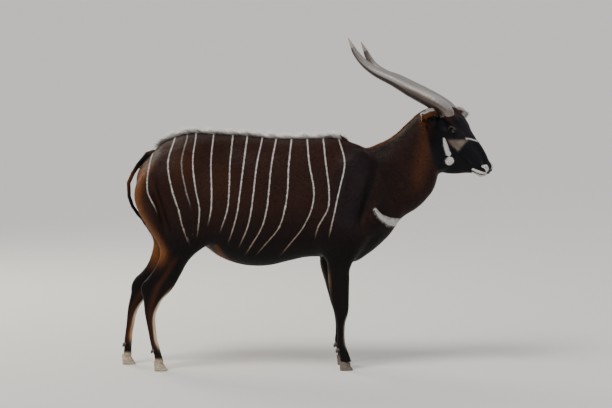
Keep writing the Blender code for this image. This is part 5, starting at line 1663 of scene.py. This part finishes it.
def eye(side):
    """A ball with a slightly bulging front, and fields that mark its iris and pupil."""
    bm = bmesh.new()
    bmesh.ops.create_uvsphere(bm, u_segments=64, v_segments=40, radius=EYE_RADIUS)
    place = head_frame()
    mesh = bpy.data.meshes.new("eyeball")
    at = Matrix.Translation((EYE_AT[0], side * EYE_AT[1], EYE_AT[2]))
    turn = Matrix.Rotation(-side * math.pi / 2, 4, "X")
    gaze = Matrix.Rotation(side * math.radians(-14), 4, "Z")
    local = np.array([v.co for v in bm.verts])
    front = local[:, 2] / EYE_RADIUS
    # the clear front bulges a little
    for v, f in zip(bm.verts, front):
        v.co *= 1 + 0.045 * max(0.0, (f - 0.80) / 0.20) ** 0.8
    bmesh.ops.transform(bm, matrix=place @ at @ gaze @ turn, verts=bm.verts)
    bm.to_mesh(mesh)
    bm.free()
    thing = add_object("eyeball_right" if side < 0 else "eyeball_left", mesh)
    smooth_shade(thing)
    spread = np.hypot(local[:, 0], local[:, 1]) / EYE_RADIUS
    iris = np.where(front > 0, spread / 0.74, 2.0)
    pupil = np.where(front > 0, np.hypot(local[:, 0] / 0.42, local[:, 1] / 0.24) / EYE_RADIUS, 3.0)
    store(mesh, {"iris": iris, "pupil": pupil})
    return thing


CLAW_LENGTH = 0.078
CLAW_WIDTH = 0.031
CLAW_HEIGHT = 0.050
CLAW_TOE_SLOPE = 0.62
CLAW_CLEFT = 0.0035
CLAW_LEVELS = 15
CLAW_SIDES = 48
CORONET_Z = 0.050
DEWCLAW_Z = 0.112
SHARP_EDGE = math.radians(50)


def claw(name, heel, side):
    """One claw of a hoof: growth rings across its wall, flat underneath."""
    levels, count = CLAW_LEVELS, CLAW_SIDES
    rings = []
    for i in range(levels):
        level = i / (levels - 1)
        z = CLAW_HEIGHT * level
        fold = 0.0004 * math.sin(i * 2.1) * (i > 0)
        front = CLAW_LENGTH - CLAW_TOE_SLOPE * z + fold
        back = 0.006 - 0.10 * z * level
        width = CLAW_WIDTH * (1 - 0.10 * level) + fold
        angle = np.linspace(0, math.tau, count, endpoint=False)
        forward = (1 + np.cos(angle)) / 2
        x = back + (front - back) * forward
        taper = 1 - 0.62 * forward ** 3
        out = (0.5 + 0.5 * np.sin(angle) * np.where(np.sin(angle) > 0, 1.0, 0.9)) * width
        y = CLAW_CLEFT + (out - width / 2) * taper + width / 2 * (0.75 + 0.25 * taper)
        rings.append(np.stack([heel[0] + x, heel[1] + side * y, np.full(count, z)], 1))
    return closed_rings(name, rings)


def closed_rings(name, rings):
    """A tube through rings of points, closed at both ends, with its sharp edges kept sharp."""
    k = np.arange(len(rings[0]))
    ends = [tuple(k[::-1]), tuple(k + (len(rings) - 1) * len(k))]
    thing = mesh_object(name, np.concatenate(rings), tube_faces(len(rings), len(k)) + ends)
    smooth_shade(thing)
    bm = bmesh.new()
    bm.from_mesh(thing.data)
    bmesh.ops.recalc_face_normals(bm, faces=bm.faces)
    for edge in bm.edges:
        if len(edge.link_faces) == 2 and edge.calc_face_angle() > SHARP_EDGE:
            edge.smooth = False
    bm.to_mesh(thing.data)
    bm.free()
    return thing


def dewclaw(name, at, side):
    """A short blunt cone behind the fetlock."""
    path = np.array([(0.012, 0.0, 0.006), (0.004, 0.001, 0.003), (-0.002, 0.002, -0.002),
                     (-0.007, 0.0027, -0.008), (-0.0098, 0.003, -0.0135)]) * (1, side, 1) + np.array(at)
    radii = (0.0085, 0.0088, 0.0084, 0.0066, 0.0030)
    ahead = unit_rows(np.gradient(path, axis=0))
    across = np.array((0.0, 1.0, 0.0))
    angle = np.linspace(0, math.tau, 24, endpoint=False)
    rings = []
    for point, way, r in zip(path, ahead, radii):
        up = np.cross(way, across)
        rings.append(point + (np.cos(angle)[:, None] * across + np.sin(angle)[:, None] * up) * r)
    return closed_rings(name, rings)


def hooves():
    """Two claws and two dewclaws on each leg, by the names of the nodes that they replace."""
    made = {}
    for place, stations, back in (("hind", HIND_LEG, HIND_LEG_BACK), ("front", FORELEG, FORELEG_BACK)):
        rear = smooth(stations, 2)
        out = smooth(stations, 4)
        stride = smooth(back, 1)
        for side, hand in ((-1, "right"), (1, "left")):
            high = float(stride(DEWCLAW_Z)) if side > 0 else 0.0
            shift = float(stride(CORONET_Z)) if side > 0 else 0.0
            middle = side * float(out(CORONET_Z))
            for turn, which in ((-1, "inner"), (1, "outer")):
                outward = side * turn
                at = (float(rear(DEWCLAW_Z)) + 0.004 + high, middle + outward * 0.016, DEWCLAW_Z)
                name = "dewclaw_%s_%s_%s" % (place, hand, which)
                made[name] = dewclaw(name + "_horn", at, outward)
                heel = (float(rear(CORONET_Z)) + shift - 0.006, middle)
                name = "claw_%s_%s_%s" % (place, hand, which)
                made[name] = claw(name + "_horn", heel, outward)
    return made


# Floor, light and camera

FLOOR_SIZE = 240.0
PHOTO_SIZE = (612, 408)
PIXELS_PER_METRE = 182.4
CAMERA_DISTANCE = 20.0
CAMERA_HEIGHT_ANGLE = math.radians(6.5)
SENSOR = 36.0
CLIP_END = 100
MIDDLE = Vector((0.0043, 0.0124, 0.905))
WORLD_COLOUR = (0.95, 0.96, 1.0)
WORLD_STRENGTH = 0.42
KEY_POWER = 2.6
KEY_ANGLE = math.radians(24)
KEY_COLOUR = (1.0, 0.96, 0.90)
KEY_WAY = (0.42, 0.55, -1.0)
# Light panels: name, place, aim, size, power, colour
PANELS = (
    ("fill", (2.6, -4.6, 2.0), (0.3, 0, 1.0), (3.5, 2.5), 60, (0.92, 0.95, 1.0)),
    ("back", (-3.2, 3.6, 3.4), (-0.2, 0, 1.1), (2.5, 2.0), 170, (1.0, 0.90, 0.76)),
)


def stage():
    bpy.ops.mesh.primitive_plane_add(size=FLOOR_SIZE, location=(0, 0, 0))
    floor = bpy.context.object
    floor.name = "floor"
    floor.data.materials.append(floor_material())


def lamp(kind, name, power, colour, turn, at=(0, 0, 0)):
    data = bpy.data.lights.new(name, kind)
    data.energy = power
    data.color = colour
    thing = add_object(name, data)
    thing.location = at
    thing.rotation_euler = Vector(turn).to_track_quat("-Z", "Y").to_euler()
    return data


def lights():
    world = bpy.data.worlds.new("studio")
    world.use_nodes = True
    background = world.node_tree.nodes["Background"]
    background.inputs[0].default_value = (*WORLD_COLOUR, 1)
    background.inputs[1].default_value = WORLD_STRENGTH
    bpy.context.scene.world = world
    lamp("SUN", "key", KEY_POWER, KEY_COLOUR, KEY_WAY).angle = KEY_ANGLE
    for name, at, aim, size, power, colour in PANELS:
        data = lamp("AREA", name, power, colour, Vector(aim) - Vector(at), at)
        data.shape = "RECTANGLE"
        data.size, data.size_y = size


def camera():
    """The photograph's view: the same height angle, middle and scale, from far enough off."""
    data = bpy.data.cameras.new("camera")
    data.sensor_width = SENSOR
    data.lens = SENSOR * CAMERA_DISTANCE * PIXELS_PER_METRE / PHOTO_SIZE[0]
    data.clip_end = CLIP_END
    thing = add_object("camera", data)
    away = Vector((0, -math.cos(CAMERA_HEIGHT_ANGLE), math.sin(CAMERA_HEIGHT_ANGLE)))
    thing.location = MIDDLE + away * CAMERA_DISTANCE
    thing.rotation_euler = (-away).to_track_quat("-Z", "Y").to_euler()
    bpy.context.scene.camera = thing


FLESH_NODES = ("head", "neck", "torso", "tail_upper", "tail_lower", "leg_hind_right", "leg_hind_left",
               "leg_front_right", "leg_front_left", "ear_right", "ear_left")
TUFT_SLOTS = {"coat_face": "face_coat", "coat_ears": "ear", "ear_fringe": "ear", "tail_tuft": "limb_coat"}


def finish_piece(thing, material, slot, *nodes):
    """Move a piece from the animal's frame to the part's, give it its material, hang it on the root and hide
    the nodes that it replaces.
    """
    thing.data.transform(Matrix.Translation(SHIFT))
    thing.data.materials.clear()
    thing.data.materials.append(material)
    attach(thing, "root")
    if nodes:
        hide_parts(*nodes)


def main():
    rng = np.random.default_rng(SEED)
    skin = skin_object()
    base = Skin(skin)
    base.uv = unwrap(skin)
    store(skin.data, coat_fields(base.points))
    tufted = coat_material("coat_tufts", True)
    pieces = grow_coat(base, rng)
    finish_piece(skin, coat_material("coat_skin", False), "coat", *FLESH_NODES)
    for piece in pieces:
        finish_piece(piece, tufted, TUFT_SLOTS.get(piece.name, "coat"))
    keratin, wet, hoof = horn_material(), eye_material(), claw_material()
    for side, hand in ((-1, "right"), (1, "left")):
        finish_piece(horn(side), keratin, "horn", "horn_" + hand)
        finish_piece(eye(side), wet, "eye", "eye_" + hand)
    for name, thing in hooves().items():
        finish_piece(thing, hoof, "claw", name)
    stage()
    lights()
    camera()


main()
